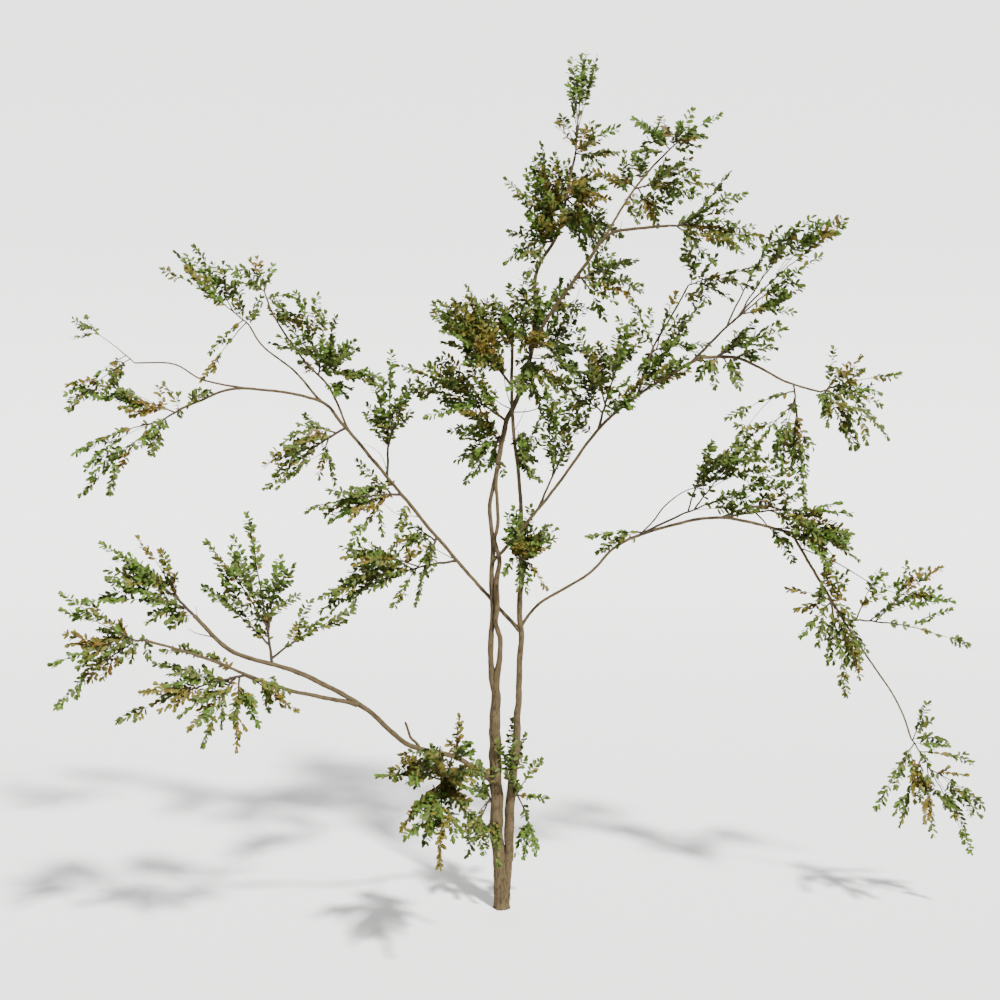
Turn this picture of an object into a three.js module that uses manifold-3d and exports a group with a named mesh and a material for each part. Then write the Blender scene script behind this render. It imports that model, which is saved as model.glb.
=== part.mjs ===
// Velvet bushwillow: a small open tree. Two close stems rise from one short trunk, and long thin
// boughs spread from them, each ending in loose plumes of leaves.
// Millimetres, +Z up, +X to the right, +Y away from the viewer. The origin is the flat cut at ground level.

import * as THREE from 'three';
import * as BufferGeometryUtils from 'three/addons/utils/BufferGeometryUtils.js';
import Module from 'manifold-3d';

const wasm = await Module();
wasm.setup();

// Driving sizes

const SEAT = 0.3; // clearance between a solid and what carries it
const UP = new THREE.Vector3(0, 0, 1);
const GOLDEN_ANGLE = THREE.MathUtils.degToRad(137.5);

const TRUNK = {
  height: 500,
  lean: 12, // how far the fork stands to the right of the foot
  foot: [58, 54], // half-widths across and front to back
  fork: [83, 58],
  flare: 12, // how much wider the root flare is at the ground
  flareHeight: 45, // over which most of the flare is lost
  sides: 14,
  rings: 6,
};

const LIMB_STEP = 260; // length of one straight stretch of a limb

// Each limb leaves its parent at a fraction of the parent's length, and runs through a few places.
// radii are spaced evenly from its root to its end.
const LIMBS = [
  {
    name: 'left_stem', from: 'trunk', sides: 7, radii: [46, 45, 44, 44, 36, 22, 18, 19, 15, 13, 13],
    route: [[-21, 0, 480], [-38, 0, 730], [-50, 0, 1230], [-52, 0, 1730], [-80, 0, 1960], [-86, 0, 2200],
      [-68, 0, 2420], [-84, 0, 2700], [-70, 0, 2990], [-92, 0, 3310], [-30, 0, 3630]],
    twin: {
      radii: [30, 26, 18, 18, 20, 16, 13, 12, 12],
      route: [[-52, -8, 1640], [-36, -20, 1930], [-12, -30, 2099], [-8, -32, 2221], [-25, -34, 2290],
        [-44, -40, 2370], [-32, -36, 2490], [-38, -34, 2620], [-34, -34, 2740], [-18, -34, 2830],
        [-22, -36, 2900], [-57, -40, 3025], [-42, -38, 3095], [-28, -34, 3190], [-36, -30, 3350],
        [-42, -26, 3470], [-32, -6, 3610]],
    },
  },
  {
    name: 'right_stem', from: 'trunk', sides: 7, radii: [33, 35, 30, 24, 21, 20, 16, 13, 12, 11, 9],
    route: [[61, 0, 480], [66, 0, 735], [98, 0, 1070], [131, 0, 1560], [137, 0, 1730], [147, 0, 2050],
      [155, 0, 2220], [149, 0, 2420], [147, 0, 2560], [166, 0, 2750], [162, 0, 2880], [148, -5, 3400],
      [90, -26, 3990], [82, -20, 4390], [90, -10, 4780]],
  },
  {
    name: 'leader', from: 'left_stem', at: 1, sides: 6, radii: [20, 18, 15, 13, 10, 8],
    route: [[30, 24, 3950], [120, 30, 4150], [230, 12, 4500], [270, 0, 4860], [280, 0, 5170],
      [450, 0, 5470], [520, 0, 5800], [580, 0, 6070]],
  },
  {
    name: 'high_bough', from: 'leader', at: 0.4, sides: 5, radii: [13, 12.5, 12, 11, 9],
    route: [[430, -100, 4890], [650, -250, 5190], [820, -350, 5410], [1090, -450, 5450], [1270, -500, 5460]],
  },
  {
    name: 'high_arm', from: 'high_bough', at: 0.66, sides: 5, radii: [9, 7.5, 6],
    route: [[970, -300, 5690], [1130, -250, 5900], [1290, -200, 6070]],
  },
  {
    name: 'upper_right_bough', from: 'left_stem', at: 0.75, sides: 6, radii: [13, 11, 10.5, 11, 11.5],
    route: [[60, -75, 3000], [150, -95, 3110], [440, -200, 3480], [760, -300, 3930], [1100, -400, 4220],
      [1500, -550, 4470]],
  },
  {
    name: 'right_out_bough', from: 'upper_right_bough', at: 1, sides: 5, radii: [11.5, 11, 8.5, 7.5, 7],
    route: [[1810, -500, 4460], [2180, -400, 4290], [2460, -350, 4210]],
  },
  {
    name: 'right_spur', from: 'upper_right_bough', at: 0.76, sides: 5, radii: [9, 7, 6.5, 5.5],
    route: [[1160, -350, 4530], [1310, -300, 4790], [1440, -300, 5030]],
  },
  {
    name: 'weeping_bough', from: 'right_stem', at: 0.43, sides: 6, radii: [11, 10, 11, 10.5],
    route: [[310, -30, 2520], [690, -80, 2760], [920, -100, 2990], [1260, -120, 3130], [1730, -150, 3220],
      [2300, -150, 3100]],
  },
  {
    name: 'weeping_drop', from: 'weeping_bough', at: 1, sides: 5, radii: [10.5, 10, 7.5, 6, 6],
    route: [[2530, -150, 2710], [2810, -150, 2260], [3150, -150, 1760], [3280, -150, 1440]],
  },
  {
    name: 'upper_left_bough', from: 'right_stem', at: 0.42, sides: 6, radii: [15, 13, 13, 12, 9.5, 8.5],
    route: [[-90, 100, 2540], [-500, 110, 3010], [-860, 100, 3450], [-1260, 100, 3930], [-1490, 100, 4150],
      [-2110, 150, 4240], [-2450, 200, 4140], [-2620, 220, 4070]],
  },
  {
    name: 'far_left_bough', from: 'upper_left_bough', at: 0.84, sides: 5, radii: [8.5, 6, 5.5, 5],
    route: [[-2420, 200, 4310], [-2670, 250, 4440], [-3000, 300, 4450]],
  },
  {
    name: 'left_spur', from: 'upper_left_bough', at: 0.67, sides: 5, radii: [10, 7.5, 6.5, 6],
    route: [[-1670, 150, 4380], [-1930, 200, 4580], [-2040, 200, 4750]],
  },
  {
    name: 'left_inner_spur', from: 'upper_left_bough', at: 0.58, sides: 5, radii: [9, 8, 7, 6],
    route: [[-1380, 100, 4240], [-1610, 150, 4490], [-1830, 200, 4810], [-1900, 200, 4980]],
  },
  {
    name: 'low_left_bough', from: 'left_stem', at: 0.18, sides: 7, radii: [22, 18, 17, 17, 15, 13.5],
    route: [[-370, -250, 1320], [-720, -600, 1510], [-1030, -800, 1840], [-1470, -1050, 2150],
      [-1940, -1150, 2330], [-2220, -1200, 2610]],
  },
  {
    name: 'low_left_branch', from: 'low_left_bough', at: 0.52, sides: 5, radii: [17, 12, 9, 8],
    route: [[-1590, -1100, 2050], [-2110, -1300, 2310], [-2530, -1350, 2450]],
  },
];

// A leafy spray stands for a side twig with its leaves. Its width, thickness and widest place are
// fractions of its length.
const SPRAY = { width: 0.42, thickness: 0.055, widest: 0.42, longest: 290, sunk: 1 };
const LEADING = { arch: 0.1, stretch: 420, endRadius: 3.5 }; // the twigs that lead a mass
const SPACING = 175; // between the sprays along a leading twig
const OPENING = THREE.MathUtils.degToRad(52); // between a spray and its twig
const TRIES = 6; // places tried for a spray before it is skipped
const CLEAR_OF_LIMB = 7;
const CLEAR_OF_NEIGHBOUR = 12;

// Each mass grows from one stem on its limb. A reach is how far a leading twig's tip lies from the
// mass's root, to the right, back and up; the first is the stem, and a fourth number says how far
// along the stem the twig forks off. bare is the part of the stem with no leaves, spread the length of
// the sprays, and sun the share of ochre leaves.
const MASSES = [
  { name: 'far_left', on: 'far_left_bough', at: 1, bare: 0.72, spread: 165, sun: 0.2,
    reaches: [[-510, 50, 350], [-530, -100, -400, 0.1], [-360, 150, -120, 0.2]] },
  { name: 'outer_left', on: 'upper_left_bough', at: 1, bare: 0.15, spread: 215, sun: 0.2,
    reaches: [[-830, 80, -700], [-830, -70, -350, 0.2], [-510, 130, 90, 0.05], [-290, -170, -290, 0.25]] },
  { name: 'left_spur_mass', on: 'left_spur', at: 1, bare: 0.2, spread: 215, sun: 0.15,
    reaches: [[-690, 50, 450], [-460, 150, 630, 0.25], [-360, -50, -440, 0.05], [-340, 150, -210, 0.1]] },
  { name: 'left_inner', on: 'left_inner_spur', at: 1, bare: 0.1, spread: 190, sun: 0.1,
    reaches: [[-70, 0, 290], [-270, -100, 220, 0.2], [30, 150, 250, 0.3]] },
  { name: 'left_crest', on: 'left_inner_spur', at: 0.4, bare: 0.2, spread: 230, sun: 0.15,
    reaches: [[40, 130, 490], [-160, -70, 640, 0.2], [280, -20, 260, 0.15], [320, -170, -40, 0.1],
      [-420, 180, 530, 0.25]] },
  { name: 'left_back', on: 'upper_left_bough', at: 0.45, bare: 0.3, spread: 215, sun: 0.1,
    reaches: [[40, 0, 990], [160, -150, 650, 0.3], [-140, 100, 830, 0.4]] },
  { name: 'left_under', on: 'upper_left_bough', at: 0.59, bare: 0.15, spread: 215, sun: 0.1,
    reaches: [[-620, -100, -480], [-380, 100, 20, 0.15], [-210, -50, -380, 0.3]] },
  { name: 'left_hang', on: 'upper_left_bough', at: 0.4, bare: 0.2, spread: 215, sun: 0.35,
    reaches: [[-730, -200, -110], [-370, -300, -370, 0.25], [-360, 100, 250, 0.15]] },
  { name: 'left_drop', on: 'upper_left_bough', at: 0.28, bare: 0.15, spread: 190, sun: 0.1,
    reaches: [[-150, -300, -500], [-320, -400, -500, 0.3], [-280, 150, 110, 0.1]] },
  { name: 'left_curtain', on: 'upper_left_bough', at: 0.21, bare: 0.4, spread: 215, sun: 0.5,
    reaches: [[-1000, -800, -270], [-850, -700, 180, 0.4], [-590, -850, 100, 0.35]] },
  { name: 'low_fan_up', on: 'low_left_bough', at: 1, bare: 0.15, spread: 230, sun: 0.35,
    reaches: [[-620, -50, 500], [-400, 100, 530, 0.2], [-210, -200, 140, 0.1]] },
  { name: 'low_fan_out', on: 'low_left_branch', at: 1, bare: 0.1, spread: 230, sun: 0.4,
    reaches: [[-600, -150, -150], [-590, 50, 190, 0.15], [-600, -100, -450, 0.2], [-390, 250, -40, 0.1]] },
  { name: 'low_fan_under', on: 'low_left_branch', at: 0.54, bare: 0.2, spread: 215, sun: 0.35,
    reaches: [[-890, -130, -310], [-260, -280, -430, 0.15], [-70, -80, -510, 0.08], [320, 20, -270, 0.02]] },
  { name: 'low_plume', on: 'low_left_bough', at: 0.77, bare: 0.25, spread: 200, sun: 0.25,
    reaches: [[-170, -10, 1080], [-440, -110, 890, 0.3], [50, 90, 760, 0.25], [-510, 90, 540, 0.15],
      [560, 190, 350, 0.05]] },
  { name: 'low_hanging', on: 'low_left_bough', at: 0.21, bare: 0.5, spread: 290, sun: 0.75,
    reaches: [[40, -1390, -440], [-240, -1040, -270, 0.45], [-410, -940, 60, 0.4], [120, -740, -440, 0.35],
      [230, -1240, 400, 0.5]] },
  { name: 'left_sprouts', on: 'left_stem', at: 0.09, bare: 0.25, spread: 165, sun: 0.05,
    reaches: [[-190, 0, 460], [-270, -150, -90, 0.42], [-240, 100, -350, 0.45], [-130, -250, 240, 0.5]] },
  { name: 'right_sprouts', on: 'right_stem', at: 0.09, bare: 0.25, spread: 165, sun: 0.05,
    reaches: [[230, 100, 330], [270, -100, 70, 0.3], [210, 100, -380, 0.35]] },
  { name: 'stem_mass', on: 'right_stem', at: 0.55, bare: 0.15, spread: 215, sun: 0.25,
    reaches: [[70, 90, 430], [200, 100, 110, 0.42], [-140, -250, -50, 0.42], [30, -200, -200, 0.46]] },
  { name: 'centre_left_low', on: 'leader', at: 0.08, bare: 0.15, spread: 215, sun: 0.2,
    reaches: [[-360, 60, -160], [-310, 160, 280, 0.15], [-130, 260, -240, 0.12]] },
  { name: 'centre_low', on: 'right_stem', at: 0.74, bare: 0.15, spread: 200, sun: 0.1,
    reaches: [[200, 100, 170], [100, -200, -120, 0.1], [60, 300, 190, 0.15]] },
  { name: 'centre_left', on: 'leader', at: 0.14, bare: 0.3, spread: 230, sun: 0.35,
    reaches: [[-820, -500, 420], [-780, -300, 240, 0.35], [-470, -200, 520, 0.3], [-160, -500, 180, 0.1]] },
  { name: 'centre_left_up', on: 'right_stem', at: 0.88, bare: 0.25, spread: 255, sun: 0.7,
    reaches: [[-600, -400, 600], [-330, -100, 740, 0.3], [-430, -600, 350, 0.25], [-180, 300, 480, 0.15]] },
  { name: 'centre_dense', on: 'leader', at: 0.37, bare: 0.2, spread: 240, sun: 0.3,
    reaches: [[-170, -300, 480], [240, 300, 580, 0.12], [290, 400, 10, 0.12], [-250, 200, 390, 0.2]] },
  { name: 'centre_right', on: 'upper_right_bough', at: 0.59, bare: 0.35, spread: 240, sun: 0.2,
    reaches: [[250, -200, 810], [-140, 60, 740, 0.3], [-160, 200, 260, 0.2], [150, -500, 580, 0.35]] },
  { name: 'centre_right_low', on: 'upper_right_bough', at: 0.25, bare: 0.5, spread: 215, sun: 0.1,
    reaches: [[390, -60, 780], [60, 40, 860, 0.45], [230, 400, 650, 0.4]] },
  { name: 'top', on: 'leader', at: 1, bare: 0.08, spread: 170, sun: 0.1,
    reaches: [[80, 0, 800], [320, -100, 190, 0.05], [-100, 100, 310, 0.08], [220, 150, -50, 0.02]] },
  { name: 'top_left', on: 'leader', at: 0.72, bare: 0.1, spread: 230, sun: 0.5,
    reaches: [[-90, 60, 770], [-210, -160, 520, 0.2], [-330, 100, 80, 0.05], [-260, -150, -130, 0.04]] },
  { name: 'top_mid', on: 'leader', at: 0.86, bare: 0.15, spread: 200, sun: 0.7,
    reaches: [[290, -100, 60], [260, -180, -330, 0.1], [210, 250, 310, 0.1]] },
  { name: 'high_low', on: 'high_bough', at: 0.41, bare: 0.2, spread: 215, sun: 0.2,
    reaches: [[500, 120, -60], [230, 120, -300, 0.15], [390, 260, 140, 0.2]] },
  { name: 'high_middle', on: 'high_arm', at: 0.52, bare: 0.25, spread: 200, sun: 0.2,
    reaches: [[560, -120, 20], [-250, 80, 130, 0.06], [440, 230, 270, 0.2], [180, 130, -250, 0.08]] },
  { name: 'high_top', on: 'high_arm', at: 1, bare: 0.15, spread: 190, sun: 0.1,
    reaches: [[380, 0, 270], [-210, 100, 230, 0.05], [70, -200, 150, 0.15]] },
  { name: 'arm_end', on: 'high_bough', at: 1, bare: 0.1, spread: 230, sun: 0.25,
    reaches: [[720, 0, -110], [530, -100, 220, 0.15], [290, -200, -300, 0.1], [370, 200, 180, 0.2]] },
  { name: 'spur_tip', on: 'right_spur', at: 1, bare: 0.15, spread: 200, sun: 0.2,
    reaches: [[530, 0, 110], [350, 150, -90, 0.15], [80, 50, 230, 0.05]] },
  { name: 'spur_mid', on: 'right_spur', at: 0.38, bare: 0.15, spread: 215, sun: 0.15,
    reaches: [[430, 50, 60], [-140, 150, 380, 0.09], [160, -150, 420, 0.15], [-70, 250, -160, 0.1]] },
  { name: 'right_mid', on: 'right_out_bough', at: 0.13, bare: 0.15, spread: 215, sun: 0.25,
    reaches: [[470, -170, 180], [160, -90, -220, 0.1], [280, 30, 250, 0.2]] },
  { name: 'right_up', on: 'upper_right_bough', at: 0.97, bare: 0.55, spread: 190, sun: 0.3,
    reaches: [[910, -200, 760], [720, -150, 360, 0.5], [1090, -150, 1000, 0.4], [630, -50, 990, 0.35],
      [830, -250, 1050, 0.45]] },
  { name: 'right_out', on: 'right_out_bough', at: 1, bare: 0.1, spread: 200, sun: 0.3,
    reaches: [[610, 50, 120], [540, 100, -350, 0.3], [230, -50, -410, 0.08], [230, 150, 190, 0.12]] },
  { name: 'right_hang', on: 'right_out_bough', at: 0.78, bare: 0.2, spread: 215, sun: 0.2,
    reaches: [[90, -60, -930], [-510, -110, -260, 0.08], [-400, -210, -590, 0.2], [-20, 190, -430, 0.15]] },
  { name: 'weeping_up', on: 'weeping_bough', at: 0.51, bare: 0.45, spread: 215, sun: 0.15,
    reaches: [[1030, -590, 420], [420, -790, 730, 0.4], [740, -890, 750, 0.45], [-420, 10, -40, 0.02]] },
  { name: 'weeping_top', on: 'weeping_bough', at: 0.77, bare: 0.4, spread: 230, sun: 0.3,
    reaches: [[960, -150, 40], [1050, -50, -330, 0.5], [580, 100, -350, 0.35], [390, 90, 170, 0.2]] },
  { name: 'weeping_fork', on: 'weeping_drop', at: 0.42, bare: 0.3, spread: 170, sun: 0.25,
    reaches: [[1010, 50, -210], [800, 150, 390, 0.3], [260, -50, 390, 0.12], [440, -150, 190, 0.25]] },
  { name: 'weeping_drop_mass', on: 'weeping_drop', at: 0.31, bare: 0.15, spread: 190, sun: 0.2,
    reaches: [[100, -190, -730], [-240, -150, -280, 0.08], [-300, 100, 50, 0.05], [350, 200, -450, 0.1]] },
  { name: 'weeping_end', on: 'weeping_drop', at: 1, bare: 0.1, spread: 190, sun: 0.2,
    reaches: [[490, 0, -910], [640, 100, -590, 0.35], [540, 150, -230, 0.15], [110, -50, 290, 0.02],
      [-300, -150, -510, 0.05], [-40, 100, -720, 0.2], [140, -150, -720, 0.3]] },
];

const BARK = new THREE.MeshStandardMaterial({ color: 0x77654f, roughness: 0.95, metalness: 0 });
const FRESH = new THREE.Color(0x5c7d2b);
const OCHRE = new THREE.Color(0x8d7a2e);

// Repeatable chance: one stream of numbers from 0 to 1 for each seed

function randomStream(seed) {
  let state = seed >>> 0;
  return () => {
    state = (state + 0x6d2b79f5) >>> 0;
    let t = Math.imul(state ^ (state >>> 15), state | 1);
    t ^= t + Math.imul(t ^ (t >>> 7), t | 61);
    return ((t ^ (t >>> 14)) >>> 0) / 4294967296;
  };
}

const vector = (numbers) => new THREE.Vector3(numbers[0], numbers[1], numbers[2]);
const mix = THREE.MathUtils.lerp;

// Solids

function solidFrom(geometry) {
  geometry.deleteAttribute('normal');
  geometry.deleteAttribute('uv');
  const merged = BufferGeometryUtils.mergeVertices(geometry, 1e-3);
  return new wasm.Manifold(new wasm.Mesh({
    numProp: 3,
    vertProperties: new Float32Array(merged.attributes.position.array),
    triVerts: new Uint32Array(merged.index.array),
  }));
}

// Keeps the largest body: loose scraps are dropped, and a hollow that joining has sealed is filled.
function largestBody(solid) {
  const bodies = solid.decompose();
  return bodies.reduce((largest, body) => (body.volume() > largest.volume() ? body : largest));
}

function namedMesh(name, solid, material) {
  const body = solid.getMesh();
  const geometry = new THREE.BufferGeometry();
  geometry.setAttribute('position', new THREE.BufferAttribute(new Float32Array(body.vertProperties), 3));
  geometry.setIndex(new THREE.BufferAttribute(new Uint32Array(body.triVerts), 1));
  geometry.computeVertexNormals();
  const mesh = new THREE.Mesh(geometry, material);
  mesh.name = name;
  return mesh;
}

// A tapering tube: a cylinder whose rows are laid along a curve. grow widens it and lengthens both ends.
function tube(curve, radiusAt, sides, steps, grow = 0) {
  const frames = curve.computeFrenetFrames(steps, false);
  const geometry = new THREE.CylinderGeometry(1, 1, 1, sides, steps);
  const places = geometry.attributes.position;
  for (let i = 0; i < places.count; i += 1) {
    const row = Math.round((places.getY(i) + 0.5) * steps);
    const along = row / steps;
    const radius = radiusAt(along) + grow;
    const place = curve.getPointAt(along);
    place.addScaledVector(frames.binormals[row], places.getX(i) * radius);
    place.addScaledVector(frames.normals[row], places.getZ(i) * radius);
    if (row === 0) place.addScaledVector(frames.tangents[row], -grow);
    if (row === steps) place.addScaledVector(frames.tangents[row], grow);
    places.setXYZ(i, place.x, place.y, place.z);
  }
  return solidFrom(geometry);
}

// The trunk: an oval section that flares at the ground and widens again towards the fork

function trunkSolid(grow = 0) {
  const { sides, rings, height, lean, foot, fork, flare, flareHeight } = TRUNK;
  const geometry = new THREE.CylinderGeometry(1, 1, 1, sides, rings);
  const places = geometry.attributes.position;
  for (let i = 0; i < places.count; i += 1) {
    const along = places.getY(i) + 0.5;
    const z = height * along ** 1.5; // rings lie closer together in the flare
    const swell = flare * Math.exp(-z / flareHeight) + grow;
    const x = lean * along + places.getX(i) * (mix(foot[0], fork[0], along) + swell);
    const y = -places.getZ(i) * (mix(foot[1], fork[1], along) + swell);
    places.setXYZ(i, x, y, along === 1 ? z + grow : z);
  }
  return solidFrom(geometry);
}

// Limbs

// The radius a fraction of the way along, from radii that are spaced evenly
function taper(radii, along) {
  const spot = along * (radii.length - 1);
  const first = Math.min(Math.floor(spot), radii.length - 2);
  return mix(radii[first], radii[first + 1], spot - first);
}

function limbCurve(route) {
  return new THREE.CatmullRomCurve3(route, false, 'catmullrom', 0.5);
}

function makeLimb(row, limbs) {
  const parent = limbs[row.from];
  const route = row.route.map(vector);
  if (parent) route.unshift(parent.curve.getPointAt(row.at));
  const curve = limbCurve(route);
  const steps = Math.ceil(curve.getLength() / LIMB_STEP);
  const radiusAt = (along) => taper(row.radii, along);
  const grownSolid = (grow) => {
    const main = tube(curve, radiusAt, row.sides, steps, grow);
    if (!row.twin) return main;
    const strand = limbCurve(row.twin.route.map(vector));
    const strandRadius = (along) => taper(row.twin.radii, along);
    return main.add(tube(strand, strandRadius, row.sides, steps, grow));
  };
  return { row, curve, steps, radiusAt, grownSolid };
}

function makeLimbs() {
  const limbs = {};
  for (const row of LIMBS) limbs[row.name] = makeLimb(row, limbs);
  return limbs;
}

// Short straight pieces of the limbs, which foliage keeps clear of

function limbPieces(limbs) {
  const pieces = [];
  for (const { row, curve, steps, radiusAt } of Object.values(limbs)) {
    const lines = [[curve, radiusAt]];
    if (row.twin) {
      lines.push([limbCurve(row.twin.route.map(vector)), (along) => taper(row.twin.radii, along)]);
    }
    for (const [line, radius] of lines) {
      for (let i = 0; i < steps; i += 1) {
        pieces.push({
          start: line.getPointAt(i / steps),
          end: line.getPointAt((i + 1) / steps),
          radius: radius(i / steps),
        });
      }
    }
  }
  pieces.push({
    start: new THREE.Vector3(0, 0, 0),
    end: new THREE.Vector3(TRUNK.lean, 0, TRUNK.height),
    radius: TRUNK.fork[0],
  });
  return pieces;
}

function distanceToPiece(place, piece) {
  const line = new THREE.Line3(piece.start, piece.end);
  return line.closestPointToPoint(place, true, new THREE.Vector3()).distanceTo(place);
}

// Leading twigs: each arches a little on its way to its tip

function archedTwig(start, tip, longest, radius, bare) {
  const length = start.distanceTo(tip);
  const stop = 1 - Math.min(longest, 0.5 * length) / length; // the last spray goes on from here
  const middle = start.clone().lerp(tip, 0.5).addScaledVector(UP, LEADING.arch * length);
  const whole = new THREE.QuadraticBezierCurve3(start, middle, tip);
  const curve = new THREE.QuadraticBezierCurve3(start, start.clone().lerp(middle, stop), whole.getPoint(stop));
  const steps = Math.ceil(curve.getLength() / LEADING.stretch);
  return { curve, steps, places: curve.getSpacedPoints(steps), tip, radius, bare };
}

// The place and the heading a fraction of the way along the straight stretches of a twig
function onTwig({ places, steps }, along) {
  const stretch = Math.min(Math.floor(along * steps), steps - 1);
  const from = places[stretch];
  const to = places[stretch + 1];
  return {
    place: from.clone().lerp(to, along * steps - stretch),
    forward: to.clone().sub(from).normalize(),
  };
}

function leadingTwigs(mass, limbs) {
  const limb = limbs[mass.on];
  const root = limb.curve.getPointAt(mass.at);
  const rootRadius = Math.min(0.8 * limb.radiusAt(mass.at), 9);
  const [first, ...rest] = mass.reaches.map((reach) => root.clone().add(vector(reach)));
  const stem = archedTwig(root, first, mass.spread, rootRadius, mass.bare);
  const forks = rest.map((tip, i) => {
    const fork = mass.reaches[i + 1][3];
    const radius = 0.9 * mix(rootRadius, LEADING.endRadius, fork);
    return archedTwig(onTwig(stem, fork).place, tip, mass.spread, radius, 0.15);
  });
  return [stem, ...forks];
}

function distanceToTwigs(place, twigs) {
  let nearest = Infinity;
  for (const { places, tip } of twigs) {
    const line = [...places, tip];
    for (let i = 1; i < line.length; i += 1) {
      nearest = Math.min(nearest, distanceToPiece(place, { start: line[i - 1], end: line[i] }));
    }
  }
  return nearest;
}

// Sprays: an eight-faced blade with its root in the twig

function sprayFrame(root, direction, roll) {
  const across = new THREE.Vector3().crossVectors(direction, UP);
  if (across.length() < 0.05) across.set(1, 0, 0);
  across.normalize().applyAxisAngle(direction, roll);
  const face = new THREE.Vector3().crossVectors(direction, across);
  return { root, direction, across, face };
}

function sprayPlace(frame, length, along, across, face) {
  return frame.root.clone()
    .addScaledVector(frame.direction, along * length)
    .addScaledVector(frame.across, across * length)
    .addScaledVector(frame.face, face * length);
}

function spraySolid({ frame, length }) {
  const geometry = new THREE.OctahedronGeometry(1, 0);
  const places = geometry.attributes.position;
  const sunk = SPRAY.sunk / length;
  for (let i = 0; i < places.count; i += 1) {
    const x = places.getX(i);
    const along = x > 0.5 ? 1 : x < -0.5 ? -sunk : SPRAY.widest;
    const place = sprayPlace(
      frame,
      length,
      along,
      (places.getY(i) * SPRAY.width) / 2,
      (places.getZ(i) * SPRAY.thickness) / 2,
    );
    places.setXYZ(i, place.x, place.y, place.z);
  }
  return solidFrom(geometry);
}

// Where a spray is tested: its tip, its two sides and half-way between them
const TESTED = [[1, 0], [SPRAY.widest, 0.5], [SPRAY.widest, -0.5], [0.72, 0.25], [0.72, -0.25], [0.5, 0], [0.25, 0]];

function sprayFits(frame, length, own, others, pieces) {
  return TESTED.every(([along, across]) => {
    const place = sprayPlace(frame, length, along, across * SPRAY.width, 0);
    if (pieces.some((piece) => distanceToPiece(place, piece) < piece.radius + CLEAR_OF_LIMB)) return false;
    const owned = distanceToTwigs(place, own) + CLEAR_OF_NEIGHBOUR;
    return others.every((twigs) => distanceToTwigs(place, twigs) > owned);
  });
}

function spraysAlong(twig, mass, random, fits) {
  const sprays = [];
  const leafy = twig.curve.getLength() * (1 - twig.bare);
  const count = Math.max(1, Math.round(leafy / SPACING));
  for (let k = 0; k < count; k += 1) {
    const along = mix(twig.bare, 1, (k + 0.6 * random()) / count);
    const { place, forward } = onTwig(twig, along);
    const side = new THREE.Vector3().crossVectors(forward, new THREE.Vector3(0, 1, 0.2)).normalize();
    const turn = k * GOLDEN_ANGLE + 0.8 * (random() - 0.5);
    const opening = OPENING * mix(0.8, 1.15, random());
    const length = mass.spread * (0.9 + 0.3 * Math.sin(Math.PI * along)) * mix(0.85, 1.15, random());
    const roll = Math.PI * random();
    for (let attempt = 0; attempt < TRIES; attempt += 1) {
      const outward = side.clone().applyAxisAngle(forward, turn + attempt * 1.1);
      const direction = forward.clone().multiplyScalar(Math.cos(opening));
      direction.addScaledVector(outward, Math.sin(opening)).normalize();
      const frame = sprayFrame(place, direction, roll);
      if (fits(frame, length)) {
        sprays.push({ frame, length });
        break;
      }
    }
  }
  // The last spray carries the twig on to its tip.
  const end = twig.places[twig.steps];
  const onward = twig.tip.clone().sub(end);
  const length = onward.length();
  sprays.push({ frame: sprayFrame(end, onward.normalize(), Math.PI * random()), length });
  return sprays;
}

function massSolid(mass, index, limbs, allTwigs, pieces) {
  const own = allTwigs[index];
  const others = nearbyTwigs(index, allTwigs);
  const random = randomStream(1000 + 17 * index);
  const fits = (frame, size) => sprayFits(frame, size, own, others, pieces);
  const solids = [];
  for (const twig of own) {
    solids.push(tube(twig.curve, (along) => mix(twig.radius, LEADING.endRadius, along), 3, twig.steps));
    solids.push(...spraysAlong(twig, mass, random, fits).map(spraySolid));
  }
  const joined = wasm.Manifold.union(solids);
  return largestBody(joined.subtract(limbs[mass.on].grownSolid(SEAT)));
}

// The masses whose twigs come near enough to matter
function nearbyTwigs(index, allTwigs) {
  const boxOf = (twigs) => new THREE.Box3().setFromPoints(twigs.flatMap((twig) => [...twig.places, twig.tip]));
  const near = boxOf(allTwigs[index]).expandByScalar(2 * SPRAY.longest);
  return allTwigs.filter((twigs, other) => other !== index && near.intersectsBox(boxOf(twigs)));
}

// The tree

const tree = new THREE.Group();
const limbs = makeLimbs();

tree.add(namedMesh('trunk', trunkSolid(), BARK));

for (const limb of Object.values(limbs)) {
  const parent = limbs[limb.row.from];
  const seat = parent ? parent.grownSolid(SEAT) : trunkSolid(SEAT);
  tree.add(namedMesh(limb.row.name, largestBody(limb.grownSolid(0).subtract(seat)), BARK));
}

const pieces = limbPieces(limbs);
const allTwigs = MASSES.map((mass) => leadingTwigs(mass, limbs));

MASSES.forEach((mass, index) => {
  const material = new THREE.MeshStandardMaterial({
    color: FRESH.clone().lerp(OCHRE, mass.sun),
    roughness: 0.8,
    metalness: 0,
  });
  tree.add(namedMesh(mass.name, massSolid(mass, index, limbs, allTwigs, pieces), material));
});

export default tree;
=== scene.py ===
"""Velvet bushwillow: the looks of a small open tree.

Two close stems rise from one short trunk, and long thin boughs spread from them, each ending in loose
plumes of small leaves. The trunk and limbs get a mesh with the bark's relief. The foliage grows on from
the limbs by the rule that shapes the solids, and is carried on to finer twigs and single leaves.
The frame has +Z up, +X to the right and +Y away from the viewer. The tables are in millimetres.
"""

import functools
import math
import random

import bpy
import numpy as np
from mathutils import Matrix, Vector, noise


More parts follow.
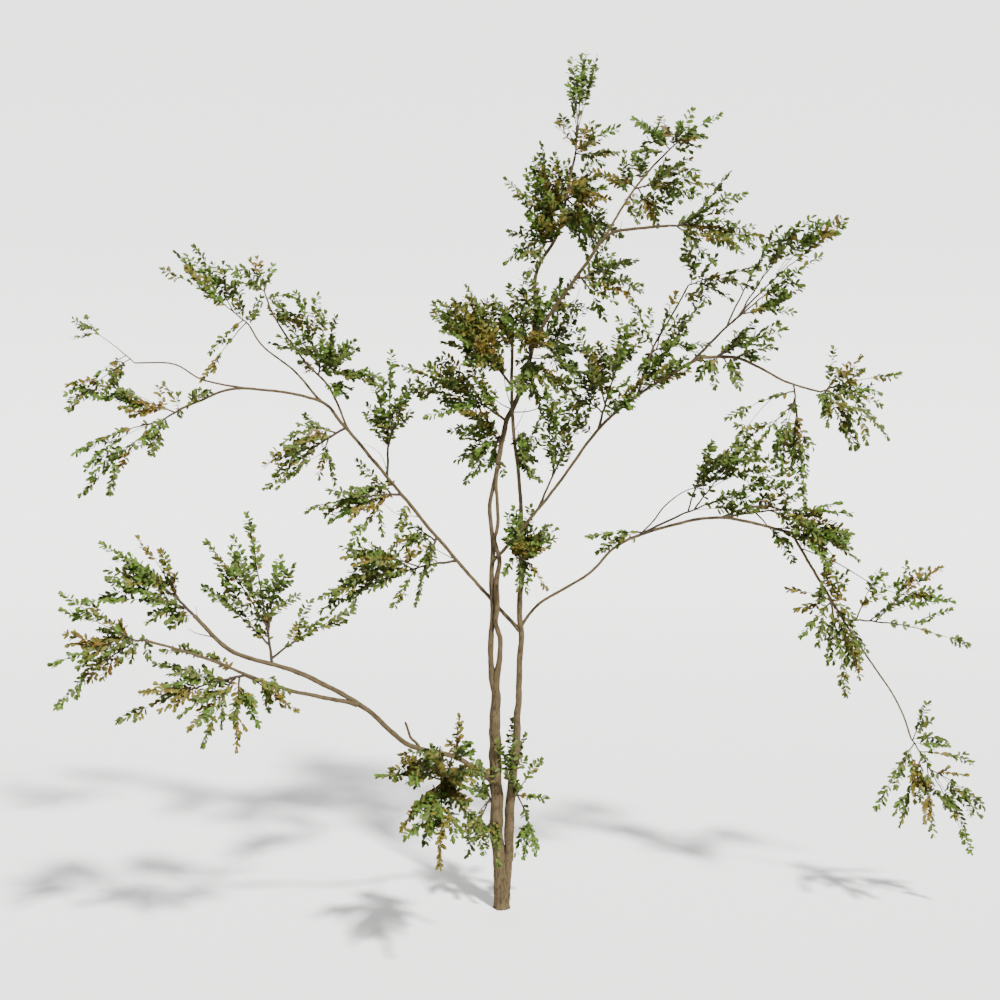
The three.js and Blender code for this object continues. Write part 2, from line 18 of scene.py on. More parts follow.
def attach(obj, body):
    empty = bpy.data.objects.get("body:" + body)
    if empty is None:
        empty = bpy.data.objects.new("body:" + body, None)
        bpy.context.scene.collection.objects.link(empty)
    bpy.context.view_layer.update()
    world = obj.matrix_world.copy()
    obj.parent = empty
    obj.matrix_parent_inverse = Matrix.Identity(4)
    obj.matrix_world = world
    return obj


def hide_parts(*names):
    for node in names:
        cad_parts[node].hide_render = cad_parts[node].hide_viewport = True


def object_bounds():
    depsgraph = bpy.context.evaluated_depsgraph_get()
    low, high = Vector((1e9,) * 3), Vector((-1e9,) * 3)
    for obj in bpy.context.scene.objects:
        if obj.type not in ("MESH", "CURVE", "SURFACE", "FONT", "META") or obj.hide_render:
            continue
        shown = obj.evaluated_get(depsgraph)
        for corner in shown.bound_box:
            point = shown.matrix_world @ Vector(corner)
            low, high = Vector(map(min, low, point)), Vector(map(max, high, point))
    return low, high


bl_info = {
    "name": "Velvet bushwillow",
    "version": (1, 0, 0),
    "blender": (4, 5, 0),
    "location": "3D View > Sidebar > Bushwillow",
    "description": "Dresses the solids of a velvet bushwillow with bark, twigs and leaves",
    "category": "Add Mesh",
}

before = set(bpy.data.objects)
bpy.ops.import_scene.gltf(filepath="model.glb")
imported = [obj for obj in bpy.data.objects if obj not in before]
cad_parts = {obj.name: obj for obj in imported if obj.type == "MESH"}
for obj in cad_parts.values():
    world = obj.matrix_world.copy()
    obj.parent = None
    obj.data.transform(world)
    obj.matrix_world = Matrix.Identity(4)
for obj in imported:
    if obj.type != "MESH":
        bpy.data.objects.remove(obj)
CAD_BOX = [list(corner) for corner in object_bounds()]

MM = 0.001
UP = np.array([0.0, 0.0, 1.0])
GOLDEN_ANGLE = math.radians(137.5)

# The trunk and the limbs, as the solids have them

TRUNK_TOP = 500
TRUNK_LEAN = 12
TRUNK_RADIUS = 83  # how far the foliage keeps from the trunk's middle
LIMB_STEP = 260

# The trunk's two stems, each at the ground and at the top: how far across, and the radius
LEFT_FOOT = ((-14, -22), (45, 49))
RIGHT_FOOT = ((20, 62), (41, 36))
TRUNK_MIDDLE = (3, 27)
FOOT_BLEND = (26, 9)  # how widely they run together, at the ground and at the top
FLARE = (11, 42)  # how far the root flare reaches out, and how fast it fades upwards
FOOT_SINK = 110  # how deep a stem's foot reaches into the trunk

# Each limb: the one it leaves, the fraction of that one's length, the radii at its root and end, its route
LIMBS = {
    "left_stem": ("trunk", 0, (46, 45, 44, 44, 36, 22, 18, 19, 15, 13, 13), [
        (-21, 0, 480), (-38, 0, 730), (-50, 0, 1230), (-52, 0, 1730), (-80, 0, 1960), (-86, 0, 2200),
        (-68, 0, 2420), (-84, 0, 2700), (-70, 0, 2990), (-92, 0, 3310), (-30, 0, 3630)]),
    "right_stem": ("trunk", 0, (33, 35, 30, 24, 21, 20, 16, 13, 12, 11, 9), [
        (61, 0, 480), (66, 0, 735), (98, 0, 1070), (131, 0, 1560), (137, 0, 1730), (147, 0, 2050),
        (155, 0, 2220), (149, 0, 2420), (147, 0, 2560), (166, 0, 2750), (162, 0, 2880), (148, -5, 3400),
        (90, -26, 3990), (82, -20, 4390), (90, -10, 4780)]),
    "leader": ("left_stem", 1, (20, 18, 15, 13, 10, 8), [
        (30, 24, 3950), (120, 30, 4150), (230, 12, 4500), (270, 0, 4860), (280, 0, 5170),
        (450, 0, 5470), (520, 0, 5800), (580, 0, 6070)]),
    "high_bough": ("leader", 0.4, (13, 12.5, 12, 11, 9), [
        (430, -100, 4890), (650, -250, 5190), (820, -350, 5410), (1090, -450, 5450), (1270, -500, 5460)]),
    "high_arm": ("high_bough", 0.66, (9, 7.5, 6), [
        (970, -300, 5690), (1130, -250, 5900), (1290, -200, 6070)]),
    "upper_right_bough": ("left_stem", 0.75, (13, 11, 10.5, 11, 11.5), [
        (60, -75, 3000), (150, -95, 3110), (440, -200, 3480), (760, -300, 3930), (1100, -400, 4220),
        (1500, -550, 4470)]),
    "right_out_bough": ("upper_right_bough", 1, (11.5, 11, 8.5, 7.5, 7), [
        (1810, -500, 4460), (2180, -400, 4290), (2460, -350, 4210)]),
    "right_spur": ("upper_right_bough", 0.76, (9, 7, 6.5, 5.5), [
        (1160, -350, 4530), (1310, -300, 4790), (1440, -300, 5030)]),
    "weeping_bough": ("right_stem", 0.43, (11, 10, 11, 10.5), [
        (310, -30, 2520), (690, -80, 2760), (920, -100, 2990), (1260, -120, 3130), (1730, -150, 3220),
        (2300, -150, 3100)]),
    "weeping_drop": ("weeping_bough", 1, (10.5, 10, 7.5, 6, 6), [
        (2530, -150, 2710), (2810, -150, 2260), (3150, -150, 1760), (3280, -150, 1440)]),
    "upper_left_bough": ("right_stem", 0.42, (15, 13, 13, 12, 9.5, 8.5), [
        (-90, 100, 2540), (-500, 110, 3010), (-860, 100, 3450), (-1260, 100, 3930), (-1490, 100, 4150),
        (-2110, 150, 4240), (-2450, 200, 4140), (-2620, 220, 4070)]),
    "far_left_bough": ("upper_left_bough", 0.84, (8.5, 6, 5.5, 5), [
        (-2420, 200, 4310), (-2670, 250, 4440), (-3000, 300, 4450)]),
    "left_spur": ("upper_left_bough", 0.67, (10, 7.5, 6.5, 6), [
        (-1670, 150, 4380), (-1930, 200, 4580), (-2040, 200, 4750)]),
    "left_inner_spur": ("upper_left_bough", 0.58, (9, 8, 7, 6), [
        (-1380, 100, 4240), (-1610, 150, 4490), (-1830, 200, 4810), (-1900, 200, 4980)]),
    "low_left_bough": ("left_stem", 0.18, (22, 18, 17, 17, 15, 13.5), [
        (-370, -250, 1320), (-720, -600, 1510), (-1030, -800, 1840), (-1470, -1050, 2150),
        (-1940, -1150, 2330), (-2220, -1200, 2610)]),
    "low_left_branch": ("low_left_bough", 0.52, (17, 12, 9, 8), [
        (-1590, -1100, 2050), (-2110, -1300, 2310), (-2530, -1350, 2450)]),
}
STEMS = ("left_stem", "right_stem", "leader")

# The left stem's second strand, grown together with it
TWIN = ((30, 26, 18, 18, 20, 16, 13, 12, 12), [
    (-52, -8, 1640), (-36, -20, 1930), (-12, -30, 2099), (-8, -32, 2221), (-25, -34, 2290),
    (-44, -40, 2370), (-32, -36, 2490), (-38, -34, 2620), (-34, -34, 2740), (-18, -34, 2830),
    (-22, -36, 2900), (-57, -40, 3025), (-42, -38, 3095), (-28, -34, 3190), (-36, -30, 3350),
    (-42, -26, 3470), (-32, -6, 3610)])

# The dead stub on the low left bough: its radii and its route
STUB = ((11, 10, 9, 8), [
    (-630, -522, 1460), (-660, -540, 1510), (-700, -550, 1550), (-716, -560, 1600), (-742, -570, 1680)])

# Bare twigs too thin for a solid: the limb each leaves, its radius at both ends, its route
BARE_TWIGS = [
    ("low_left_bough", (6, 2), [(-2100, -1170, 2420), (-2190, -1200, 2470), (-2250, -1220, 2510)]),
    ("low_left_bough", (4, 2), [(-2150, -1180, 2490), (-2180, -1200, 2580), (-2200, -1200, 2670)]),
    ("high_bough", (3, 2), [(880, -370, 5410), (910, -370, 5460), (920, -370, 5510)]),
    ("leader", (6, 2), [
        (230, 0, 4480), (370, -50, 4490), (490, -50, 4680), (560, -50, 4840), (620, -50, 5030)]),
    ("leader", (6, 2), [(80, 0, 4070), (-10, -50, 4120), (-80, -80, 4180), (-170, -100, 4270)]),
    ("leader", (6, 2), [(90, 0, 4040), (230, 30, 4060), (370, 50, 4120), (550, 50, 4190)]),
    ("leader", (5, 2), [(80, 0, 4080), (40, -40, 4210), (20, -50, 4350), (20, -50, 4540)]),
    ("leader", (5, 2), [(230, 0, 4510), (190, -30, 4620), (120, -50, 4790)]),
    ("leader", (5, 2), [(0, 0, 3830), (-110, -50, 4030), (-150, -80, 4120)]),
    ("right_stem", (4, 2), [(100, 0, 3890), (150, -50, 3990), (190, -80, 4080)]),
    ("upper_left_bough", (4, 2), [
        (-910, 100, 3510), (-960, 80, 3690), (-1030, 70, 3760), (-1110, 60, 3800)]),
    ("upper_left_bough", (4, 2), [(-680, 100, 3190), (-760, 50, 3220), (-850, 0, 3240), (-970, 0, 3350)]),
    ("upper_left_bough", (5, 2), [
        (-360, 100, 2850), (-490, 0, 2930), (-620, -50, 3030), (-730, -50, 3190)]),
    ("weeping_bough", (8, 4), [
        (1100, -110, 3080), (1190, -250, 3200), (1260, -400, 3330), (1390, -600, 3460), (1520, -750, 3510)]),
    ("weeping_bough", (9, 4), [
        (1730, -150, 3220), (1880, -170, 3280), (2040, -190, 3316), (2250, -200, 3268), (2460, -200, 3116),
        (2640, -180, 2890)]),
    ("weeping_drop", (6, 2.5), [
        (2380, -150, 2980), (2620, -160, 2880), (2830, -100, 2760), (3000, -50, 2660), (3200, 0, 2590),
        (3340, 20, 2560)]),
]

# The masses of foliage, as the solids have them: the limb, the fraction of its length, the bare share of
# the stem, the length of a spray, the share of ochre leaves, and how far each leading twig's tip lies from
# the root. The first reach is the stem, and a fourth number says where on the stem a twig forks off.
MASSES = {
    "far_left": ("far_left_bough", 1, 0.72, 165, 0.2, [
        (-510, 50, 350), (-530, -100, -400, 0.1), (-360, 150, -120, 0.2)]),
    "outer_left": ("upper_left_bough", 1, 0.15, 215, 0.2, [
        (-830, 80, -700), (-830, -70, -350, 0.2), (-510, 130, 90, 0.05), (-290, -170, -290, 0.25)]),
    "left_spur_mass": ("left_spur", 1, 0.2, 215, 0.15, [
        (-690, 50, 450), (-460, 150, 630, 0.25), (-360, -50, -440, 0.05), (-340, 150, -210, 0.1)]),
    "left_inner": ("left_inner_spur", 1, 0.1, 190, 0.1, [
        (-70, 0, 290), (-270, -100, 220, 0.2), (30, 150, 250, 0.3)]),
    "left_crest": ("left_inner_spur", 0.4, 0.2, 230, 0.15, [
        (40, 130, 490), (-160, -70, 640, 0.2), (280, -20, 260, 0.15), (320, -170, -40, 0.1),
        (-420, 180, 530, 0.25)]),
    "left_back": ("upper_left_bough", 0.45, 0.3, 215, 0.1, [
        (40, 0, 990), (160, -150, 650, 0.3), (-140, 100, 830, 0.4)]),
    "left_under": ("upper_left_bough", 0.59, 0.15, 215, 0.1, [
        (-620, -100, -480), (-380, 100, 20, 0.15), (-210, -50, -380, 0.3)]),
    "left_hang": ("upper_left_bough", 0.4, 0.2, 215, 0.35, [
        (-730, -200, -110), (-370, -300, -370, 0.25), (-360, 100, 250, 0.15)]),
    "left_drop": ("upper_left_bough", 0.28, 0.15, 190, 0.1, [
        (-150, -300, -500), (-320, -400, -500, 0.3), (-280, 150, 110, 0.1)]),
    "left_curtain": ("upper_left_bough", 0.21, 0.4, 215, 0.5, [
        (-1000, -800, -270), (-850, -700, 180, 0.4), (-590, -850, 100, 0.35)]),
    "low_fan_up": ("low_left_bough", 1, 0.15, 230, 0.35, [
        (-620, -50, 500), (-400, 100, 530, 0.2), (-210, -200, 140, 0.1)]),
    "low_fan_out": ("low_left_branch", 1, 0.1, 230, 0.4, [
        (-600, -150, -150), (-590, 50, 190, 0.15), (-600, -100, -450, 0.2), (-390, 250, -40, 0.1)]),
    "low_fan_under": ("low_left_branch", 0.54, 0.2, 215, 0.35, [
        (-890, -130, -310), (-260, -280, -430, 0.15), (-70, -80, -510, 0.08), (320, 20, -270, 0.02)]),
    "low_plume": ("low_left_bough", 0.77, 0.25, 200, 0.25, [
        (-170, -10, 1080), (-440, -110, 890, 0.3), (50, 90, 760, 0.25), (-510, 90, 540, 0.15),
        (560, 190, 350, 0.05)]),
    "low_hanging": ("low_left_bough", 0.21, 0.5, 290, 0.75, [
        (40, -1390, -440), (-240, -1040, -270, 0.45), (-410, -940, 60, 0.4), (120, -740, -440, 0.35),
        (230, -1240, 400, 0.5)]),
    "left_sprouts": ("left_stem", 0.09, 0.25, 165, 0.05, [
        (-190, 0, 460), (-270, -150, -90, 0.42), (-240, 100, -350, 0.45), (-130, -250, 240, 0.5)]),
    "right_sprouts": ("right_stem", 0.09, 0.25, 165, 0.05, [
        (230, 100, 330), (270, -100, 70, 0.3), (210, 100, -380, 0.35)]),
    "stem_mass": ("right_stem", 0.55, 0.15, 215, 0.25, [
        (70, 90, 430), (200, 100, 110, 0.42), (-140, -250, -50, 0.42), (30, -200, -200, 0.46)]),
    "centre_left_low": ("leader", 0.08, 0.15, 215, 0.2, [
        (-360, 60, -160), (-310, 160, 280, 0.15), (-130, 260, -240, 0.12)]),
    "centre_low": ("right_stem", 0.74, 0.15, 200, 0.1, [
        (200, 100, 170), (100, -200, -120, 0.1), (60, 300, 190, 0.15)]),
    "centre_left": ("leader", 0.14, 0.3, 230, 0.35, [
        (-820, -500, 420), (-780, -300, 240, 0.35), (-470, -200, 520, 0.3), (-160, -500, 180, 0.1)]),
    "centre_left_up": ("right_stem", 0.88, 0.25, 255, 0.7, [
        (-600, -400, 600), (-330, -100, 740, 0.3), (-430, -600, 350, 0.25), (-180, 300, 480, 0.15)]),
    "centre_dense": ("leader", 0.37, 0.2, 240, 0.3, [
        (-170, -300, 480), (240, 300, 580, 0.12), (290, 400, 10, 0.12), (-250, 200, 390, 0.2)]),
    "centre_right": ("upper_right_bough", 0.59, 0.35, 240, 0.2, [
        (250, -200, 810), (-140, 60, 740, 0.3), (-160, 200, 260, 0.2), (150, -500, 580, 0.35)]),
    "centre_right_low": ("upper_right_bough", 0.25, 0.5, 215, 0.1, [
        (390, -60, 780), (60, 40, 860, 0.45), (230, 400, 650, 0.4)]),
    "top": ("leader", 1, 0.08, 170, 0.1, [
        (80, 0, 800), (320, -100, 190, 0.05), (-100, 100, 310, 0.08), (220, 150, -50, 0.02)]),
    "top_left": ("leader", 0.72, 0.1, 230, 0.5, [
        (-90, 60, 770), (-210, -160, 520, 0.2), (-330, 100, 80, 0.05), (-260, -150, -130, 0.04)]),
    "top_mid": ("leader", 0.86, 0.15, 200, 0.7, [
        (290, -100, 60), (260, -180, -330, 0.1), (210, 250, 310, 0.1)]),
    "high_low": ("high_bough", 0.41, 0.2, 215, 0.2, [
        (500, 120, -60), (230, 120, -300, 0.15), (390, 260, 140, 0.2)]),
    "high_middle": ("high_arm", 0.52, 0.25, 200, 0.2, [
        (560, -120, 20), (-250, 80, 130, 0.06), (440, 230, 270, 0.2), (180, 130, -250, 0.08)]),
    "high_top": ("high_arm", 1, 0.15, 190, 0.1, [
        (380, 0, 270), (-210, 100, 230, 0.05), (70, -200, 150, 0.15)]),
    "arm_end": ("high_bough", 1, 0.1, 230, 0.25, [
        (720, 0, -110), (530, -100, 220, 0.15), (290, -200, -300, 0.1), (370, 200, 180, 0.2)]),
    "spur_tip": ("right_spur", 1, 0.15, 200, 0.2, [
        (530, 0, 110), (350, 150, -90, 0.15), (80, 50, 230, 0.05)]),
    "spur_mid": ("right_spur", 0.38, 0.15, 215, 0.15, [
        (430, 50, 60), (-140, 150, 380, 0.09), (160, -150, 420, 0.15), (-70, 250, -160, 0.1)]),
    "right_mid": ("right_out_bough", 0.13, 0.15, 215, 0.25, [
        (470, -170, 180), (160, -90, -220, 0.1), (280, 30, 250, 0.2)]),
    "right_up": ("upper_right_bough", 0.97, 0.55, 190, 0.3, [
        (910, -200, 760), (720, -150, 360, 0.5), (1090, -150, 1000, 0.4), (630, -50, 990, 0.35),
        (830, -250, 1050, 0.45)]),
    "right_out": ("right_out_bough", 1, 0.1, 200, 0.3, [
        (610, 50, 120), (540, 100, -350, 0.3), (230, -50, -410, 0.08), (230, 150, 190, 0.12)]),
    "right_hang": ("right_out_bough", 0.78, 0.2, 215, 0.2, [
        (90, -60, -930), (-510, -110, -260, 0.08), (-400, -210, -590, 0.2), (-20, 190, -430, 0.15)]),
    "weeping_up": ("weeping_bough", 0.51, 0.45, 215, 0.15, [
        (1030, -590, 420), (420, -790, 730, 0.4), (740, -890, 750, 0.45), (-420, 10, -40, 0.02)]),
    "weeping_top": ("weeping_bough", 0.77, 0.4, 230, 0.3, [
        (960, -150, 40), (1050, -50, -330, 0.5), (580, 100, -350, 0.35), (390, 90, 170, 0.2)]),
    "weeping_fork": ("weeping_drop", 0.42, 0.3, 170, 0.25, [
        (1010, 50, -210), (800, 150, 390, 0.3), (260, -50, 390, 0.12), (440, -150, 190, 0.25)]),
    "weeping_drop_mass": ("weeping_drop", 0.31, 0.15, 190, 0.2, [
        (100, -190, -730), (-240, -150, -280, 0.08), (-300, 100, 50, 0.05), (350, 200, -450, 0.1)]),
    "weeping_end": ("weeping_drop", 1, 0.1, 190, 0.2, [
        (490, 0, -910), (640, 100, -590, 0.35), (540, 150, -230, 0.15), (110, -50, 290, 0.02),
        (-300, -150, -510, 0.05), (-40, 100, -720, 0.2), (140, -150, -720, 0.3)]),
}

# Further twigs of each mass that only the looks have: how far each tip lies from the mass's root
FILLING = {
    "far_left": [(-430, -100, -180), (-300, 50, -290), (-470, -200, -300)],
    "outer_left": [
        (-430, 30, -20), (-220, -120, -180), (-720, -20, -480), (-140, 80, 140), (230, -120, 140),
        (-20, 30, -10), (-700, 30, 150)],
    "left_spur_mass": [
        (-580, 100, 550), (-220, 0, 420), (-100, 50, 280), (-380, -100, 310), (90, 50, 160),
        (-500, 100, 510), (-350, 100, 470), (-100, 50, 330)],
    "left_inner": [(210, 0, -170), (290, -100, -290), (140, 100, -20)],
    "left_crest": [
        (420, -20, 40), (150, 80, 220), (-110, 130, 140), (210, -120, -140), (540, -120, -90),
        (70, -170, 250), (150, 80, 120), (80, 30, 40), (250, -20, 220)],
    "left_back": [(0, 50, 610), (-100, -100, 490)],
    "left_under": [(-590, 0, -270), (-450, 50, -110), (-500, -200, -400), (-130, 50, -30)],
    "left_hang": [
        (-210, -200, -140), (-420, -250, -210), (-90, -100, -290), (-560, -50, -150), (-330, 100, -60),
        (-90, -50, 60)],
    "left_drop": [(-50, -200, -180), (-180, -100, 10), (-330, 0, -80), (-220, -100, -120)],
    "left_curtain": [
        (-830, -750, -80), (-930, -850, -170), (-730, -600, -40), (-780, -800, 100), (-630, -700, -140)],
    "low_fan_up": [
        (-540, -100, 280), (-670, -100, 120), (-370, 0, 200), (-170, 0, -50), (-490, 50, 360),
        (-250, -50, 400), (-320, -50, 70), (-300, -50, -40)],
    "low_fan_out": [
        (-420, -50, -290), (-410, 50, -120), (-480, -50, 10), (-150, -150, -80), (-320, 150, 80),
        (-460, 0, 250), (-30, 50, -10), (-50, 50, -130)],
    "low_fan_under": [
        (-620, 20, 130), (-500, -130, -20), (-350, -80, -140), (-230, 20, 110), (90, 20, -220),
        (-110, -130, -280), (-400, -180, -290), (-650, -30, -180), (180, 120, -170), (-220, -30, -100)],
    "low_plume": [(-230, -10, 870), (-330, -60, 770), (-80, 90, 450), (200, 90, 450), (420, 140, 300)],
    "low_hanging": [
        (-150, -840, 90), (20, -540, -30), (-80, -840, -130), (100, -640, 20), (240, -540, -50),
        (-210, -940, 210), (50, -1140, -220), (-90, -1140, -150), (140, -740, -160), (-300, -740, 30),
        (-40, -540, 130), (190, -740, -50)],
    "left_sprouts": [
        (-100, -100, -260), (30, -150, -290), (-70, -100, 400), (-200, -100, 280), (-60, 150, -190),
        (-150, -100, -180)],
    "right_sprouts": [
        (80, -100, 560), (-100, -150, 490), (120, 0, 310), (10, -150, 270), (60, -50, -400),
        (140, -100, -340), (-40, 100, 620), (160, 50, 520)],
    "stem_mass": [
        (-70, -150, 380), (30, 100, 330), (160, 0, 260), (-90, 150, 110), (-50, -200, 220),
        (110, -200, 140), (30, 0, 280), (-70, 0, 230)],
    "centre_left_low": [(-250, -100, 40), (-170, -200, 170), (-200, -100, -130), (-90, 150, 40)],
    "centre_low": [(110, 100, 0), (60, -150, 180)],
    "centre_left": [
        (-520, -400, 360), (-360, -200, 300), (-260, -300, 470), (-600, -500, 450), (-220, -200, 140),
        (-410, -300, 140), (-670, -450, 330), (-230, -300, 360)],
    "centre_left_up": [
        (-480, -300, 630), (-390, -200, 710), (-240, -200, 620), (-510, -500, 460), (-290, -300, 440),
        (-550, -450, 560), (-170, -200, 270), (-330, -300, 270), (-160, -150, 620), (-390, -200, 620)],
    "centre_dense": [
        (-20, -200, 550), (80, 150, 460), (-90, -200, 340), (230, 100, 320), (360, 200, 210),
        (100, -300, 100), (-110, -200, 70), (-20, -250, -220), (140, -150, -320), (-110, -300, -320),
        (110, 150, -440), (250, 100, -240), (-50, 200, -110), (70, 250, 290), (180, -100, 420),
        (-210, 0, 350), (440, 250, 370), (70, 0, 510), (30, 100, 420), (410, 100, 0), (380, 100, -200),
        (350, 100, -370)],
    "centre_right": [
        (-70, 100, 260), (30, -100, 640), (0, 0, 390), (110, -50, 200), (260, -150, 220), (370, -150, 410),
        (-170, 100, 440), (-270, 150, 180), (170, -250, 740), (-80, 50, 600), (680, -200, 500),
        (570, -150, 630)],
    "centre_right_low": [(80, 140, 890), (250, 40, 780)],
    "top": [
        (130, 20, 740), (20, 50, 730), (90, -50, 630), (60, 0, 550), (130, 50, 200), (180, -100, 100),
        (40, -50, 150), (10, 0, 430), (100, -40, 760), (40, 0, 770), (270, 50, 50), (80, 0, 810),
        (90, 0, 190)],
    "top_left": [
        (0, -150, 380), (80, 100, 540), (-70, 150, 350), (-120, -100, 180), (-200, 0, 370),
        (110, -200, 220), (-200, 0, 40), (40, 0, 640), (70, -200, 110), (-30, 200, 160), (-150, 150, 550),
        (20, 0, 460), (-190, 0, 150)],
    "top_mid": [
        (190, -100, -110), (160, 100, -190), (250, 0, 190), (70, -200, 80), (210, -250, -40),
        (60, 150, -180), (200, 200, 110), (270, 0, -310), (200, 100, -380), (360, -100, -300)],
    "high_low": [
        (240, 20, 80), (280, 120, 240), (420, -80, 70), (310, -80, -140), (150, 70, -90), (460, -130, -150)],
    "high_middle": [
        (120, 80, -180), (0, 30, -180), (220, -20, -140), (-80, 80, 220), (30, -20, 190), (350, -20, -60),
        (-70, 180, 50), (150, 30, -150), (30, 30, 290)],
    "high_top": [(-210, 50, 50), (-140, 0, 110), (250, 0, 150), (-90, 100, 170), (160, -50, 30)],
    "arm_end": [(230, 0, -110), (450, 0, 0), (160, 100, 90), (570, 0, -150)],
    "spur_tip": [(180, 0, 40), (110, 100, -110)],
    "spur_mid": [
        (280, 0, 100), (210, 0, -50), (100, 50, -90), (390, 50, -30), (-20, 50, 180), (130, -100, 20)],
    "right_mid": [
        (160, 30, -90), (-90, 30, -120), (300, -70, 90), (420, 30, 10), (20, -20, -170), (80, 30, 100),
        (180, -70, 130), (360, -70, 90), (-50, 10, -110)],
    "right_up": [
        (1040, -150, 1030), (930, -150, 970), (750, -150, 930), (690, -150, 490), (790, -200, 670),
        (710, -150, 1000), (660, -150, 490), (750, -150, 590), (940, -150, 1030)],
    "right_out": [
        (130, 50, -100), (200, 0, -220), (320, 50, -60), (450, 50, -50), (70, -50, -290), (30, -50, -120),
        (350, 100, 110), (90, 0, -140), (250, 0, -370)],
    "right_hang": [
        (20, -60, -500), (90, -10, -700), (-170, -160, -610), (0, 90, -660), (-480, -210, -530),
        (60, -10, -730)],
    "weeping_up": [
        (630, -790, 670), (810, -790, 590), (710, -740, 550), (-220, 10, -40), (-100, 10, -80),
        (500, -790, 640), (920, -640, 480), (-140, 10, -30)],
    "weeping_top": [
        (830, -100, -40), (930, -50, -210), (810, -50, -290), (730, -50, -20), (610, 0, 210),
        (940, -150, -120), (970, -50, -230), (910, -50, -130)],
    "weeping_fork": [(490, 50, 380), (660, 150, 310), (830, 100, 110), (370, 50, 300), (700, 200, 140)],
    "weeping_drop_mass": [
        (80, 0, 180), (130, 50, -20), (-20, -50, 290), (160, 0, -190), (200, -50, -570), (70, -50, -330),
        (-100, -100, 40), (20, -100, -520), (80, 0, -60), (120, 0, 140)],
    "weeping_end": [
        (190, 0, 140), (290, 50, 0), (90, -50, 110), (450, 150, -210), (-60, -50, -170), (-190, -100, -350),
        (120, -50, 130), (50, -50, -520), (490, 50, -680)],
}

# How full a mass is: the share of its sprays that it keeps, and the plumes to each tip of its filling
USUAL_FULLNESS = (0.9, 4)
FULLNESS = {
    "far_left": (0.9, 4), "outer_left": (0.5, 5), "left_spur_mass": (0.2, 6), "left_inner": (0.7, 4),
    "left_hang": (0.5, 4), "left_drop": (0.6, 4), "left_curtain": (0.6, 4), "low_fan_up": (0.6, 5),
    "low_fan_out": (0.5, 5), "low_fan_under": (0.6, 5), "low_plume": (0.5, 6), "low_hanging": (0.9, 6),
    "left_sprouts": (0.4, 3), "right_sprouts": (0.3, 2), "stem_mass": (1, 6), "centre_left_low": (1, 6),
    "centre_low": (1, 5), "centre_left": (0.6, 5), "centre_left_up": (0.6, 6), "centre_dense": (0.5, 7),
    "centre_right": (0.6, 5), "centre_right_low": (0.5, 5), "top": (0.3, 4), "top_left": (0.9, 5),
    "top_mid": (0.9, 5), "high_low": (1, 6), "high_middle": (1, 5), "high_top": (0.9, 5), "arm_end": (1, 5),
    "spur_tip": (0.9, 4), "spur_mid": (1, 5), "right_mid": (0.3, 4), "right_up": (0, 4),
    "right_out": (0.5, 4), "right_hang": (0.3, 4), "weeping_up": (0.3, 4), "weeping_top": (0.4, 6),
    "weeping_fork": (0.1, 3), "weeping_drop_mass": (0.6, 6), "weeping_end": (0.6, 4),
}

# Masses whose leafy lines may lie closer together than in the others
DENSE = (
    "low_hanging", "top_left", "top_mid", "centre_left_up", "stem_mass", "centre_left_low", "centre_low",
    "high_middle", "high_top", "left_crest", "right_up", "weeping_top", "centre_right", "right_mid",
    "right_out",
)

# The growing rule's numbers, as the solids have them
SPRAY_WIDTH = 0.42
SPRAY_WIDEST = 0.42
ARCH = 0.1
STRETCH = 420
END_RADIUS = 3.5
SPACING = 175
OPENING = math.radians(52)
TRIES = 6
TRY_TURN = 1.1
CLEAR_OF_LIMB = 7
CLEAR_OF_NEIGHBOUR = 12
NEARBY = 580
THICKEST_TWIG = 9
FORK_BARE = 0.15
TESTED = np.array([
    (1, 0), (SPRAY_WIDEST, 0.5), (SPRAY_WIDEST, -0.5), (0.72, 0.25), (0.72, -0.25), (0.5, 0), (0.25, 0)])

# Leaf colours, and the record's slot for each
LEAF_KINDS = {
    "fresh": "green_leaves",
    "green": "green_leaves",
    "shade": "green_leaves",
    "olive": "mixed_leaves",
    "yellow": "mixed_leaves",
    "ochre": "ochre_leaves",
}

# The leaf's shapes: half the width, how far it folds, how far it curls down, and how far it twists
LEAF_SHAPES = (
    ("leaf_a", 0.235, 0.35, 0.1, 0.2),
    ("leaf_b", 0.22, 0.2, 0.16, -0.3),
    ("leaf_c", 0.255, 0.45, 0.04, 0.0),
)
LEAF_CLEARANCE = 3  # between a leaf and a limb, in millimetres


# Settings

class BushwillowBark(bpy.types.PropertyGroup):
    """Sizes and colours of the bark"""

    fissure_depth: bpy.props.FloatProperty(
        name="Fissure depth", description="Depth of a fissure on the trunk",
        default=0.004, min=0, max=0.02, subtype="DISTANCE", unit="LENGTH")
    fissure_width: bpy.props.FloatProperty(
        name="Plate width", description="Width of the plates between two fissures",
        default=0.018, min=0.004, max=0.1, subtype="DISTANCE", unit="LENGTH")
    ridge_colour: bpy.props.FloatVectorProperty(
        name="Ridge colour", description="Colour of the bark's plates",
        default=(0.088, 0.066, 0.035), min=0, max=1, size=3, subtype="COLOR")
    fissure_colour: bpy.props.FloatVectorProperty(
        name="Fissure colour", description="Colour down in the fissures",
        default=(0.024, 0.016, 0.009), min=0, max=1, size=3, subtype="COLOR")
    twig_colour: bpy.props.FloatVectorProperty(
        name="Twig colour", description="Colour of the thin twigs",
        default=(0.05, 0.035, 0.02), min=0, max=1, size=3, subtype="COLOR")


